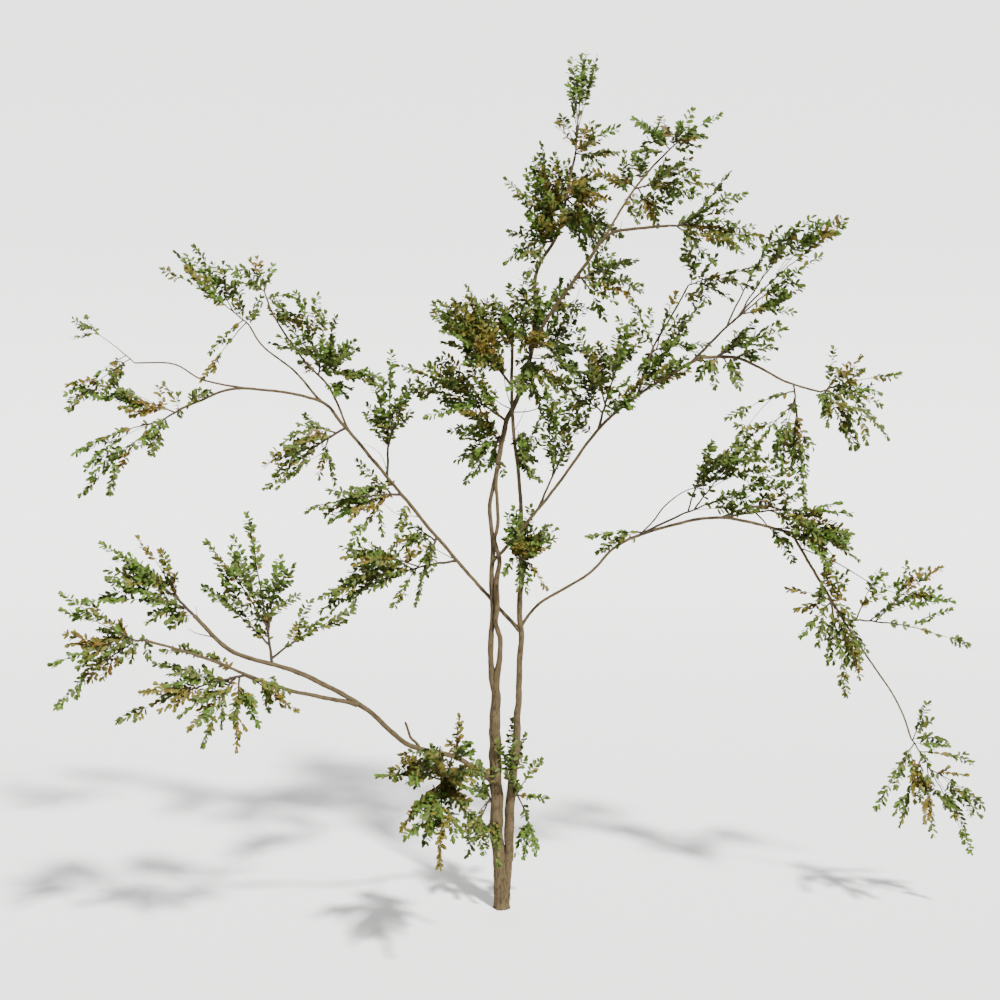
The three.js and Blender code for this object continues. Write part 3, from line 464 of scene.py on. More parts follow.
class BushwillowFoliage(bpy.types.PropertyGroup):
    """Sizes and colours of the twigs and leaves"""

    leaf_length: bpy.props.FloatProperty(
        name="Leaf length", description="Length of a full-grown leaf",
        default=0.058, min=0.02, max=0.2, subtype="DISTANCE", unit="LENGTH")
    leaf_gap: bpy.props.FloatProperty(
        name="Leaf gap", description="Distance between two pairs of leaves along a twig",
        default=0.022, min=0.01, max=0.2, subtype="DISTANCE", unit="LENGTH")
    fresh: bpy.props.FloatVectorProperty(
        name="Fresh leaves", description="Colour of the youngest leaves",
        default=(0.062, 0.108, 0.014), min=0, max=1, size=3, subtype="COLOR")
    green: bpy.props.FloatVectorProperty(
        name="Green leaves", description="Colour of full-grown leaves",
        default=(0.055, 0.08, 0.014), min=0, max=1, size=3, subtype="COLOR")
    shade: bpy.props.FloatVectorProperty(
        name="Shade leaves", description="Colour of the dark inner leaves",
        default=(0.062, 0.07, 0.017), min=0, max=1, size=3, subtype="COLOR")
    olive: bpy.props.FloatVectorProperty(
        name="Olive leaves", description="Colour of leaves that start to turn",
        default=(0.086, 0.082, 0.016), min=0, max=1, size=3, subtype="COLOR")
    yellow: bpy.props.FloatVectorProperty(
        name="Yellow leaves", description="Colour of yellow-green leaves",
        default=(0.1, 0.088, 0.013), min=0, max=1, size=3, subtype="COLOR")
    ochre: bpy.props.FloatVectorProperty(
        name="Ochre leaves", description="Colour of leaves that have turned",
        default=(0.11, 0.068, 0.013), min=0, max=1, size=3, subtype="COLOR")


class BushwillowStage(bpy.types.PropertyGroup):
    """Floor, light and camera"""

    key_strength: bpy.props.FloatProperty(
        name="Key light", description="Strength of the light from the front right",
        default=10.4, min=0, max=100)
    key_softness: bpy.props.FloatProperty(
        name="Softness", description="Width of the key light as the tree sees it",
        default=math.radians(5), min=0, max=math.pi, subtype="ANGLE", unit="ROTATION")
    fill_strength: bpy.props.FloatProperty(
        name="Fill light", description="Strength of the even light from all sides",
        default=0.32, min=0, max=10)
    camera_height: bpy.props.FloatProperty(
        name="Camera height", description="Height of the camera over the ground",
        default=4.144, min=0, max=50, subtype="DISTANCE", unit="LENGTH")
    camera_pitch: bpy.props.FloatProperty(
        name="Camera pitch", description="How far the camera looks down",
        default=math.radians(4.1), min=-1.5, max=1.5, subtype="ANGLE", unit="ROTATION")


# Paths that are walked by their length

class Path:
    """A curve given by a function from 0 to 1, and the fraction of its length at each place."""

    def __init__(self, point):
        self.point = point
        self.marks = np.linspace(0, 1, 201)
        strides = np.linalg.norm(np.diff(point(self.marks), axis=0), axis=1)
        self.walked = np.concatenate([[0], np.cumsum(strides)])
        self.length = self.walked[-1]

    def at(self, along):
        """The places at fractions of the length, or one place for a single fraction."""
        marks = np.interp(np.atleast_1d(along) * self.length, self.walked, self.marks)
        places = self.point(marks)
        return places if np.ndim(along) else places[0]


def smooth_path(route):
    """A smooth path through the places of a route."""
    route = np.array(route, float)
    ends = np.vstack([2 * route[0] - route[1], route, 2 * route[-1] - route[-2]])

    def point(marks):
        spans = marks * (len(route) - 1)
        first = np.minimum(spans.astype(int), len(route) - 2)
        t = (spans - first)[:, None]
        before, start, end, after = (ends[first + k] for k in range(4))
        leave = (end - before) / 2
        arrive = (after - start) / 2
        bend = -3 * start + 3 * end - 2 * leave - arrive
        return start + leave * t + bend * t ** 2 + (2 * start - 2 * end + leave + arrive) * t ** 3

    return Path(point)


def arch_path(start, middle, end):
    """An arch from start to end that is drawn towards middle."""
    def point(marks):
        t = marks[:, None]
        return start * (1 - t) ** 2 + middle * 2 * t * (1 - t) + end * t ** 2

    return Path(point)


def unit(direction):
    return direction / np.linalg.norm(direction)


def turned(direction, axis, angle):
    """A direction turned about an axis."""
    return (direction * math.cos(angle) + np.cross(axis, direction) * math.sin(angle)
            + axis * axis.dot(direction) * (1 - math.cos(angle)))


def mix(first, second, share):
    return first + (second - first) * share


def taper(radii, along):
    """The radius at fractions of the way along, from radii that are spaced evenly."""
    return np.interp(along, np.linspace(0, 1, len(radii)), radii)


def nearest(places, starts, ends):
    """The distance of each place from each straight piece."""
    lines = ends - starts
    towards = places[:, None, :] - starts[None, :, :]
    share = (towards * lines).sum(2) / np.maximum((lines * lines).sum(1), 1e-9)
    feet = starts + lines * np.clip(share, 0, 1)[:, :, None]
    return np.linalg.norm(places[:, None, :] - feet, axis=2)


# The growing rule of the solids

class Limb:
    """One tapering limb, in millimetres."""

    def __init__(self, radii, route):
        self.radii = radii
        self.path = smooth_path(route)
        self.steps = math.ceil(self.path.length / LIMB_STEP)

    def radius_at(self, along):
        return taper(self.radii, along)


class Twig:
    """A leading twig, which arches on its way and leaves room for the spray at its tip."""

    def __init__(self, start, tip, longest, radius, bare):
        reach = np.linalg.norm(tip - start)
        stop = 1 - min(longest, 0.5 * reach) / reach
        middle = (start + tip) / 2 + UP * ARCH * reach
        end = arch_path(start, middle, tip).point(np.array([stop]))[0]
        self.path = arch_path(start, mix(start, middle, stop), end)
        self.steps = math.ceil(self.path.length / STRETCH)
        self.places = self.path.at(np.linspace(0, 1, self.steps + 1))
        self.tip = tip
        self.radius = radius
        self.bare = bare

    def at(self, along):
        """The place and heading a fraction of the way along the straight stretches."""
        stretch = min(int(along * self.steps), self.steps - 1)
        start, end = self.places[stretch], self.places[stretch + 1]
        return mix(start, end, along * self.steps - stretch), unit(end - start)

    def lines(self):
        line = np.vstack([self.places, self.tip])
        return line[:-1], line[1:]


class Spray:
    """The frame of one leafy spray: its root, its direction, and the two ways across it."""

    def __init__(self, root, direction, roll, length):
        across = np.cross(direction, UP)
        if np.linalg.norm(across) < 0.05:
            across = np.array([1.0, 0.0, 0.0])
        self.root = root
        self.direction = direction
        self.across = turned(unit(across), direction, roll)
        self.face = np.cross(direction, self.across)
        self.length = length

    def tested_places(self):
        along = TESTED[:, :1] * self.direction
        across = TESTED[:, 1:] * SPRAY_WIDTH * self.across
        return self.root + (along + across) * self.length


def random_stream(seed):
    """Repeatable chance: a function that gives numbers from 0 to 1."""
    state = seed

    def draw():
        nonlocal state
        state = (state + 0x6D2B79F5) & 0xFFFFFFFF
        t = (state ^ (state >> 15)) * (state | 1) & 0xFFFFFFFF
        t ^= t + ((t ^ (t >> 7)) * (t | 61) & 0xFFFFFFFF) & 0xFFFFFFFF
        return (t ^ (t >> 14)) / 4294967296

    return draw


@functools.cache
def grown_limbs():
    """All limbs by name."""
    limbs = {}
    for name, (parent, at, radii, route) in LIMBS.items():
        start = [limbs[parent].path.at(at)] if parent in limbs else []
        limbs[name] = Limb(radii, start + route)
    return limbs


@functools.cache
def limb_pieces():
    """Starts, ends and radii of short straight pieces of the limbs and the trunk."""
    rows = [(limb.path, limb.steps, limb.radius_at) for limb in grown_limbs().values()]
    twin = smooth_path(TWIN[1])
    rows.append((twin, grown_limbs()["left_stem"].steps, lambda along: taper(TWIN[0], along)))
    starts = [np.zeros((1, 3))]
    ends = [np.array([[TRUNK_LEAN, 0, TRUNK_TOP]])]
    radii = [np.array([TRUNK_RADIUS])]
    for path, steps, radius_at in rows:
        places = path.at(np.linspace(0, 1, steps + 1))
        starts.append(places[:-1])
        ends.append(places[1:])
        radii.append(radius_at(np.arange(steps) / steps))
    return np.vstack(starts), np.vstack(ends), np.concatenate(radii)


def leading_twigs(limb_name, at, bare, longest, _, reaches):
    """A mass's stem and the twigs that fork off it."""
    limb = grown_limbs()[limb_name]
    root = limb.path.at(at)
    root_radius = min(0.8 * limb.radius_at(at), THICKEST_TWIG)
    stem = Twig(root, root + np.array(reaches[0]), longest, root_radius, bare)
    forks = []
    for *reach, fork in reaches[1:]:
        radius = 0.9 * mix(root_radius, END_RADIUS, fork)
        forks.append(Twig(stem.at(fork)[0], root + np.array(reach), longest, radius, FORK_BARE))
    return [stem, *forks]


def joined_lines(twigs):
    """Starts and ends of all straight stretches of the twigs."""
    lines = [twig.lines() for twig in twigs]
    return np.vstack([line[0] for line in lines]), np.vstack([line[1] for line in lines])


def spray_fits(spray, own, others):
    """Whether a spray is clear of the limbs and keeps to its own mass's space."""
    places = spray.tested_places()
    starts, ends, radii = limb_pieces()
    if (nearest(places, starts, ends) < radii + CLEAR_OF_LIMB).any():
        return False
    if others is None:
        return True
    owned = nearest(places, *own).min(1) + CLEAR_OF_NEIGHBOUR
    return bool((nearest(places, *others).min(1) > owned).all())


def placed_spray(twig, along, number, longest, draw, fits):
    """A spray at a fraction of a twig, at the first of a few turns where it fits, or None."""
    place, forward = twig.at(along)
    side = unit(np.cross(forward, np.array([0, 1, 0.2])))
    turn = number * GOLDEN_ANGLE + 0.8 * (draw() - 0.5)
    opening = OPENING * mix(0.8, 1.15, draw())
    length = longest * (0.9 + 0.3 * math.sin(math.pi * along)) * mix(0.85, 1.15, draw())
    roll = math.pi * draw()
    for attempt in range(TRIES):
        outward = turned(side, forward, turn + attempt * TRY_TURN)
        direction = unit(forward * math.cos(opening) + outward * math.sin(opening))
        spray = Spray(place, direction, roll, length)
        if fits(spray):
            return spray
    return None


def sprays_along(twig, longest, draw, fits):
    """The sprays that the solids have on one twig, each with its place along it."""
    count = max(1, round(twig.path.length * (1 - twig.bare) / SPACING))
    sprays = []
    for number in range(count):
        along = mix(twig.bare, 1, (number + 0.6 * draw()) / count)
        sprays.append((along, placed_spray(twig, along, number, longest, draw, fits)))
    onward = twig.tip - twig.places[-1]
    length = np.linalg.norm(onward)
    sprays.append((1, Spray(twig.places[-1], onward / length, math.pi * draw(), length)))
    return [row for row in sprays if row[1]]


# Finer growth: branchlets between the sprays of the solids, side shoots, and pairs of leaves

BRANCHLET_GAP = 120  # between the branchlets along a leading twig, in millimetres
BRANCHLET_LENGTHS = (170, 420)  # the shortest and the longest, in millimetres
SIDE_GAP = 0.13  # between the side shoots along a plume, in metres
SIDE_SHARE = 0.3  # the longest side shoot, as a share of its plume's length
SHOOT_FIRST = 0.06  # the bare share of a short plume
LEAFY = 0.34  # the longest leafy part of a plume, in metres
ROOM = 0.04  # how far apart the leafy lines of a mass want to be, in metres
DENSE_ROOM = 0.028  # the same in a dense mass
CLEAR_SHARE = 0.55  # the share of a leafy line that must have this room
STRETCHED = 1.2  # how much longer a plume is than the solids' spray
FORWARD = 0.45  # how far a plume bends the way its twig goes
SCATTER = 60  # how far the filling's tips lie from the given ones, in millimetres
STEADY = Vector((0.14, -0.55, 0.62))  # the way that leaves like to face
STRAY = 0.65  # how far a leaf strays from it
LOST = 0.08  # the share of leaves that have dropped
LEAF_OPENING = (35, 65)  # between a leaf and its twig, in degrees
SHOOT_OPENING = (28, 45)  # between a side shoot and its plume, in degrees
SHOOT_RADII = (0.0011, 0.0007)  # at the start and the end of a side shoot, in metres
PLUME_RADII = (0.0014, 0.0009)  # the same of a plume, which starts thicker the longer it is
PLUME_TAPER = 0.0035  # how much thicker it starts for each metre of its length
PLUME_STEP = 0.08  # the length of its straight pieces, in metres
TWIG_STEP = 45  # the length of a leading twig's straight pieces, in millimetres
WAVER = 0.004  # how far they stray from the rule's arch, in metres
TWIG_SWELL = 1.4  # how much thicker a leading twig looks than the rule has it
TWIG_END = 0.0024  # its radius at the end, in metres


class Growth:
    """All fine lines and leaves of the tree, in metres."""

    def __init__(self, leaf_length, leaf_gap):
        self.leaf_length = leaf_length
        self.leaf_gap = leaf_gap
        self.lines = []  # rows of (places, radius at the start, radius at the end)
        self.shoots = []  # the same for the thinnest lines
        self.leaves = {kind: [] for kind in LEAF_KINDS}
        self.masses = {kind: set() for kind in LEAF_KINDS}
        self.taken = np.full((1, 3), 1e3)  # places along the leafy lines so far

    def add_line(self, places, thick, thin):
        self.lines.append((places, thick, thin))

    def add_shoot(self, shoot):
        self.shoots.append(([shoot.at(0), shoot.at(0.5), shoot.at(1)], *SHOOT_RADII))

    def add_leaf(self, kind, place, along, face, size):
        self.leaves[kind].append((place, along, face, size))

    def has_room(self, shoot, room):
        """Whether most of a shoot's leafy part keeps its distance from the leafy lines so far."""
        places = shoot.leafy_places(6)
        gaps = np.linalg.norm(places[:, None] - self.taken[None], axis=2).min(1)
        return (gaps > room).mean() > CLEAR_SHARE

    def take_room(self, shoot):
        count = max(2, round(shoot.length / 0.03))
        self.taken = np.vstack([self.taken, shoot.leafy_places(count)])


def spread_direction(chance):
    """A direction with no bias."""
    height = chance.uniform(-1, 1)
    turn = chance.uniform(0, 2 * math.pi)
    flat = math.sqrt(1 - height * height)
    return Vector((flat * math.cos(turn), flat * math.sin(turn), height))


class Shoot:
    """One thin leafy line, bending a little on its way."""

    def __init__(self, root, direction, across, length, bend):
        self.root = root
        self.direction = direction
        self.across = (across - direction * across.dot(direction)).normalized()
        self.face = direction.cross(self.across)
        self.length = length
        self.bend = bend

    def at(self, along):
        return self.root + (self.direction * along + self.bend * along * along) * self.length

    def heading(self, along):
        return (self.direction + self.bend * 2 * along).normalized()

    def first_leaf(self):
        """How far along the leaves start: a long shoot has them on its outer part only."""
        return max(SHOOT_FIRST, 1 - LEAFY / self.length)

    def leafy_places(self, count):
        return np.array([self.at(along) for along in np.linspace(self.first_leaf(), 1, count)])


def set_leaves(growth, shoot, kinds, first, chance):
    """Pairs of leaves along a shoot and one at its tip. kinds picks the colour of each leaf."""
    pairs = max(1, round(shoot.length * (1 - first) / growth.leaf_gap))
    for number in range(pairs):
        along = mix(first, 1, (number + 0.5) / pairs)
        heading = shoot.heading(along)
        size = growth.leaf_length * (0.85 + 0.2 * math.sin(math.pi * along))
        quarter = chance.uniform(-0.4, 0.4) + (0.7 if number % 2 else 0)
        for side in (1, -1):
            if chance.random() < LOST:
                continue
            out = (shoot.across * math.cos(quarter) + shoot.face * math.sin(quarter)) * side
            opening = math.radians(chance.uniform(*LEAF_OPENING))
            along_leaf = heading * math.cos(opening) + out * math.sin(opening)
            along_leaf.z = 0.75 * along_leaf.z + chance.uniform(-0.25, 0.05)
            face = STEADY + spread_direction(chance) * STRAY
            growth.add_leaf(kinds(along, chance), shoot.at(along), along_leaf.normalized(), face,
                            size * chance.uniform(0.75, 1.1))
    for _ in range(3):
        along_leaf = (shoot.heading(1) + spread_direction(chance) * 0.5).normalized()
        face = STEADY + spread_direction(chance) * STRAY
        growth.add_leaf(kinds(1, chance), shoot.at(1), along_leaf, face, growth.leaf_length * 0.85)


def leaf_kinds(mass_sun, along, chance):
    """Picks a spray's two colours: turned ones in the mass's inner parts, fresher ones towards its tips."""
    turning = mass_sun * (1.7 - 0.9 * along)
    fresh = 0.1 + 0.4 * along
    draw = chance.random()
    if draw < turning * 0.45:
        inner, outer = "ochre", "yellow"
    elif draw < turning * 0.8:
        inner, outer = "yellow", "green"
    elif draw < turning:
        inner, outer = "olive", "fresh"
    elif draw < turning + (1 - turning) * fresh:
        inner, outer = "green", "fresh"
    elif chance.random() < 0.6:
        inner, outer = "olive", "green"
    else:
        inner, outer = "shade", "green"

    def pick(out, own_chance):
        return outer if own_chance.random() < 0.15 + 0.8 * out else inner

    return pick


def dress_plume(growth, plume, kinds, chance):
    """The wood and the leaves of one plume, with side shoots where it is long."""
    steps = max(3, round(plume.length / PLUME_STEP))
    thick = PLUME_RADII[0] + PLUME_TAPER * plume.length
    growth.add_line([plume.at(step / steps) for step in range(steps + 1)], thick, PLUME_RADII[1])
    first = plume.first_leaf()
    set_leaves(growth, plume, kinds, first, chance)
    growth.take_room(plume)
    count = round(plume.length * (1 - first) / SIDE_GAP)
    for number in range(count):
        along = mix(first, 1, (number + chance.uniform(0.1, 0.6)) / count)
        length = SIDE_SHARE * plume.length * (1 - along) * chance.uniform(0.7, 1.3)
        if length < growth.leaf_length / 2:
            continue
        roll = chance.uniform(-0.5, 0.5) + (math.pi if number % 2 else 0)
        out = plume.across * math.cos(roll) + plume.face * math.sin(roll)
        opening = math.radians(chance.uniform(*SHOOT_OPENING))
        heading = (plume.heading(along) * math.cos(opening) + out * math.sin(opening)).normalized()
        bend = Vector((0, 0, chance.uniform(-0.12, 0.1))) + plume.direction * 0.15
        shoot = Shoot(plume.at(along), heading, plume.across, length, bend)
        growth.add_shoot(shoot)
        set_leaves(growth, shoot, kinds, 0.15, chance)


def arched_plume(root, tip, lift, chance):
    """A plume from root to tip in millimetres, that first heads a little off towards lift."""
    line = Vector(tip - root) * MM
    heading = (line.normalized() + Vector(lift) + spread_direction(chance) * 0.12).normalized()
    across = heading.cross(spread_direction(chance))
    return Shoot(Vector(root) * MM, heading, across, line.length, line / line.length - heading)


def plume_from(spray, forward, longer, chance):
    """A spray as a plume that curves towards the way its twig goes, and sags a little."""
    sag = np.array([0, 0, chance.uniform(-0.15, 0.05)])
    way = unit(spray.direction + forward * FORWARD + sag)
    return arched_plume(spray.root, spray.root + way * spray.length * longer, 0.35 * spray.direction, chance)


def dress_leading_twig(growth, twig, mass_sun, kept, chance):
    """The wood of a leading twig, with pairs of leaves past its bare part."""
    steps = max(6, round(twig.path.length / TWIG_STEP))
    places = [Vector(place) * MM for place in twig.path.at(np.linspace(0, 1, steps + 1))]
    for number in range(1, steps):
        places[number] += spread_direction(chance) * WAVER
    growth.add_line(places, TWIG_SWELL * max(twig.radius, END_RADIUS) * MM, TWIG_END)
    for number in range(steps):
        along = (number + 0.5) / steps
        if along < twig.bare or chance.random() > 0.3 + 0.5 * kept:
            continue
        step = places[number + 1] - places[number]
        heading = step.normalized()
        across = heading.cross(spread_direction(chance)).normalized()
        kinds = leaf_kinds(mass_sun, along, chance)
        piece = Shoot(places[number], heading, across, step.length, Vector((0, 0, 0)))
        set_leaves(growth, piece, kinds, 0.3, chance)
        growth.take_room(piece)


def branchlets(twig, draw, fits):
    """Longer side twigs between the sprays of the solids, as frames with their places along the twig."""
    found = []
    count = round(twig.path.length * (1 - twig.bare) / BRANCHLET_GAP)
    for number in range(count):
        along = mix(twig.bare, 0.85, (number + draw()) / count)
        place, forward = twig.at(along)
        side = unit(np.cross(forward, np.array([0, 1, 0.2])))
        wanted = twig.path.length * (1 - along) * mix(0.5, 0.85, draw())
        length = min(max(BRANCHLET_LENGTHS[0], wanted), BRANCHLET_LENGTHS[1])
        turn, roll = 2 * math.pi * draw(), math.pi * draw()
        opening = math.radians(mix(22, 40, draw()))
        for attempt in range(TRIES):
            outward = turned(side, forward, turn + attempt * TRY_TURN)
            direction = unit(forward * math.cos(opening) + outward * math.sin(opening))
            spray = Spray(place, direction, roll, length)
            if fits(spray):
                found.append((along, spray))
                break
    return found


def filling_plumes(name, twigs, copies, chance):
    """Plumes from a mass's twigs or its limb to the tips of its filling, with their places in the mass."""
    limb_name, at = MASSES[name][:2]
    root = twigs[0].places[0]
    limb = grown_limbs()[limb_name].path.at(np.linspace(max(0.1, at - 0.3), min(1, at + 0.3), 25))
    starts = np.vstack([limb] + [twig.path.at(np.linspace(0, 0.85, 18)) for twig in twigs])
    widest = max(np.linalg.norm(twig.tip - root) for twig in twigs)
    for reach in FILLING.get(name, ()) * copies:
        tip = root + np.array(reach) + SCATTER * np.array(spread_direction(chance))
        towards = mix(root, tip, max(twigs[0].bare, 0.1) + chance.uniform(0, 0.45))
        start = starts[np.linalg.norm(starts - towards, axis=1).argmin()]
        yield np.linalg.norm(reach) / widest, arched_plume(start, tip, 0.25 * UP, chance)


def twigs_near(all_twigs, index):
    """The leading twigs of all masses that come near one mass."""
    corners = []
    for twigs in all_twigs:
        places = np.vstack([np.vstack([twig.places, twig.tip]) for twig in twigs])
        corners.append((places.min(0), places.max(0)))
    low, high = corners[index][0] - NEARBY, corners[index][1] + NEARBY
    near = [(corner[0] < high).all() and (corner[1] > low).all() for corner in corners]
    return [twig for other, twigs in enumerate(all_twigs) if near[other] and other != index for twig in twigs]


def grow_mass(growth, name, index, all_twigs):
    """One mass: its leading twigs, their sprays and branchlets as plumes, and its filling."""
    longest, sun = MASSES[name][3:5]
    kept, copies = FULLNESS.get(name, USUAL_FULLNESS)
    near = twigs_near(all_twigs, index)
    own = joined_lines(all_twigs[index])
    fits = functools.partial(spray_fits, own=own, others=joined_lines(near) if near else None)
    clear = functools.partial(spray_fits, own=own, others=None)
    draw = random_stream(1000 + 17 * index)
    chance = random.Random(index)
    plumes = []
    for twig in all_twigs[index]:
        dress_leading_twig(growth, twig, sun, kept, chance)
        sprays = sprays_along(twig, longest, draw, fits) + branchlets(twig, chance.random, clear)
        for along, spray in sprays:
            longer = 1 if along == 1 else STRETCHED
            plume = plume_from(spray, twig.at(min(along, 0.99))[1], longer, chance)
            if along == 1:
                dress_plume(growth, plume, leaf_kinds(sun, along, chance), chance)
            elif chance.random() < kept:
                plumes.append((along, plume))
    plumes[:0] = filling_plumes(name, all_twigs[index], copies, chance)
    room = DENSE_ROOM if name in DENSE else ROOM
    for along, plume in plumes:
        if growth.has_room(plume, room):
            dress_plume(growth, plume, leaf_kinds(sun, along, chance), chance)


@functools.cache
def grown_foliage(leaf_length, leaf_gap):
    """Everything that grows from the limbs."""
    growth = Growth(leaf_length, leaf_gap)
    all_twigs = [leading_twigs(*mass) for mass in MASSES.values()]
    for index, name in enumerate(MASSES):
        counted = {kind: len(leaves) for kind, leaves in growth.leaves.items()}
        grow_mass(growth, name, index, all_twigs)
        for kind, leaves in growth.leaves.items():
            if len(leaves) > counted[kind]:
                growth.masses[kind].add(name)
    for on, (thick, thin), route in BARE_TWIGS:
        path = grown_limbs()[on].path.at(np.linspace(0, 1, 200))
        foot = path[np.linalg.norm(path - np.array(route[0]), axis=1).argmin()]
        line = smooth_path([foot, *route[1:]])
        places = [Vector(place) * MM for place in line.at(np.linspace(0, 1, 12))]
        growth.add_line(places, thick * MM, thin * MM)
    return growth


# Node trees and materials

class NodeTree:
    """Adds nodes to a tree and fills their inputs."""

    def __init__(self, tree):
        self.tree = tree

    def fill(self, node, inputs):
        """Gives a node's inputs, by name or number, a value or another node's output."""
        for key, value in inputs.items():
            if isinstance(value, bpy.types.NodeSocket):
                self.tree.links.new(value, node.inputs[key])
            else:
                node.inputs[key].default_value = value

    def add(self, kind, inputs=None, **settings):
        node = self.tree.nodes.new(kind)
        for key, value in settings.items():
            setattr(node, key, value)
        self.fill(node, inputs or {})
        return node

    def maths(self, operation, *values):
        return self.add("ShaderNodeMath", dict(enumerate(values)), operation=operation).outputs[0]

    def attribute(self, name):
        return self.add("ShaderNodeAttribute", attribute_name=name).outputs

    def grain(self, place, scale, detail, roughness=0.5):
        """Noise at a place, from 0 to 1."""
        inputs = {"Vector": place, "Scale": scale, "Detail": detail, "Roughness": roughness}
        return self.add("ShaderNodeTexNoise", inputs).outputs["Fac"]

    def ramp(self, value, dark, light, high=0.65):
        """A colour that goes from dark to light as a value rises to high."""
        ramp = self.add("ShaderNodeValToRGB", {"Fac": value})
        low_end, high_end = ramp.color_ramp.elements
        low_end.position = 0.35
        low_end.color = (*dark, 1)
        high_end.position = high
        high_end.color = (*light, 1)
        return ramp.outputs["Color"]

    def ranged(self, value, span, made):
        """A value's place in a span, carried over to another span."""
        return self.add("ShaderNodeMapRange", {
            "Value": value,
            "From Min": span[0],
            "From Max": span[1],
            "To Min": made[0],
            "To Max": made[1],
        }).outputs[0]

    def blend(self, share, first, second, **settings):
        inputs = {"Factor": share, "A": first, "B": second}
        return self.add("ShaderNodeMix", inputs, data_type="RGBA", **settings).outputs["Result"]


def new_material(name, roughness, gloss):
    """A material, its nodes and its shader."""
    material = bpy.data.materials.new(name)
    material.use_nodes = True
    nodes = NodeTree(material.node_tree)
    shader = material.node_tree.nodes["Principled BSDF"]
    nodes.fill(shader, {"Roughness": roughness, "Specular IOR Level": gloss})
    return material, nodes, shader


def scaled(colour, share, lift=0.0):
    """A colour made darker or paler, with its alpha."""
    return (*[min(1, share * part + lift) for part in colour], 1)


def bark_material(settings):
    """Rough grey-brown bark: dark in the fissures that the mesh has, with finer grain along the limb."""
    material, nodes, shader = new_material("fissured_bark", 0.9, 0.12)
    place = nodes.attribute("grain")["Vector"]
    stretched = nodes.add("ShaderNodeMapping", {"Vector": place, "Scale": (1, 1, 0.22)}).outputs["Vector"]
    fine = nodes.grain(stretched, 220, 4, 0.65)
    height = nodes.maths("MULTIPLY_ADD", fine, 0.9, nodes.attribute("ridge")["Fac"])
    fissured = nodes.ramp(height, settings.fissure_colour, settings.ridge_colour, 1)
    patches = nodes.ramp(nodes.grain(place, 9, 2), (0.62, 0.58, 0.55), (1, 0.98, 0.92))
    weathered = nodes.blend(0.5, fissured, patches, blend_type="MULTIPLY")
    bump = nodes.add("ShaderNodeBump", {"Height": fine, "Strength": 0.5, "Distance": 0.0015})
    nodes.fill(shader, {"Base Color": weathered, "Normal": bump.outputs["Normal"]})
    return material


def twig_material(settings):
    """Smooth brown skin of the thin twigs."""
    material, nodes, shader = new_material("twig_skin", 0.75, 0.25)
    place = nodes.add("ShaderNodeTexCoord").outputs["Object"]
    dark = [0.55 * part for part in settings.twig_colour]
    nodes.fill(shader, {"Base Color": nodes.ramp(nodes.grain(place, 60, 2), dark, settings.twig_colour)})
    return material


def leaf_material(kind, colour):
    """Satin leaf with a paler midrib and side veins, and a little difference from leaf to leaf."""
    material, nodes, shader = new_material(kind + "_leaf", 0.55, 0.15)
    surface = nodes.add("ShaderNodeUVMap", uv_map="leaf_map").outputs["UV"]
    split = nodes.add("ShaderNodeSeparateXYZ", {0: surface}).outputs
    away = nodes.maths("ABSOLUTE", nodes.maths("SUBTRACT", split["Y"], 0.5))
    midrib = nodes.ranged(away, (0, 0.035), (0.45, 0))
    slant = nodes.maths("MULTIPLY_ADD", away, -0.8, split["X"])
    waves = nodes.maths("SINE", nodes.maths("MULTIPLY", slant, 48))
    veins = nodes.ranged(waves, (0.8, 1), (0, 0.18))
    plain = nodes.blend(nodes.attribute("tint")["Fac"], scaled(colour, 0.8), scaled(colour, 1.26))
    drawn = nodes.blend(nodes.maths("MAXIMUM", midrib, veins), plain, scaled(colour, 1.8, 0.004))
    nodes.fill(shader, {"Base Color": drawn})
    return material


# Meshes

def add_object(name, mesh, material=None):
    piece = bpy.data.objects.new(name, mesh)
    bpy.context.scene.collection.objects.link(piece)
    if material:
        mesh.materials.append(material)
    return piece


def add_values(mesh, name, kind, key, values):
    """Gives a mesh a named attribute with one value for each point."""
    attribute = mesh.attributes.new(name, kind, "POINT")
    attribute.data.foreach_set(key, np.asarray(values, np.float32).ravel())


class Skin:
    """Rings of points joined to closed tubes, and the values that the bark's material reads."""

    def __init__(self):
        self.points = []
        self.faces = []
        self.grain = []
        self.ridge = []

    def count(self):
        return sum(len(points) for points in self.points)

    def add_rows(self, rows, grain, ridge):
        """rows is rings × sides × 3. The first and last rings are closed to a point."""
        rings, sides = rows.shape[:2]
        base = self.count()
        self.points += [rows.reshape(-1, 3), rows[0].mean(0)[None], rows[-1].mean(0)[None]]
        self.grain += [grain.reshape(-1, 3), grain[0].mean(0)[None], grain[-1].mean(0)[None]]
        self.ridge += [ridge.ravel(), [1.0, 1.0]]
        here = base + np.arange(rings * sides).reshape(rings, sides)
        onward = np.roll(here, -1, axis=1)
        quads = np.stack([here[:-1], onward[:-1], onward[1:], here[1:]], axis=-1).reshape(-1, 4)
        self.faces += quads.tolist()
        start, end = base + rings * sides, base + rings * sides + 1
        self.faces += [(start, b, a) for a, b in zip(here[0].tolist(), onward[0].tolist())]
        self.faces += [(end, a, b) for a, b in zip(here[-1].tolist(), onward[-1].tolist())]

    def to_object(self, name, material):
        mesh = bpy.data.meshes.new(name)
        mesh.from_pydata(np.vstack(self.points).tolist(), [], self.faces)
        mesh.shade_smooth()
        add_values(mesh, "grain", "FLOAT_VECTOR", "vector", np.vstack(self.grain))
        add_values(mesh, "ridge", "FLOAT", "value", np.concatenate(self.ridge))
        return add_object(name, mesh, material)


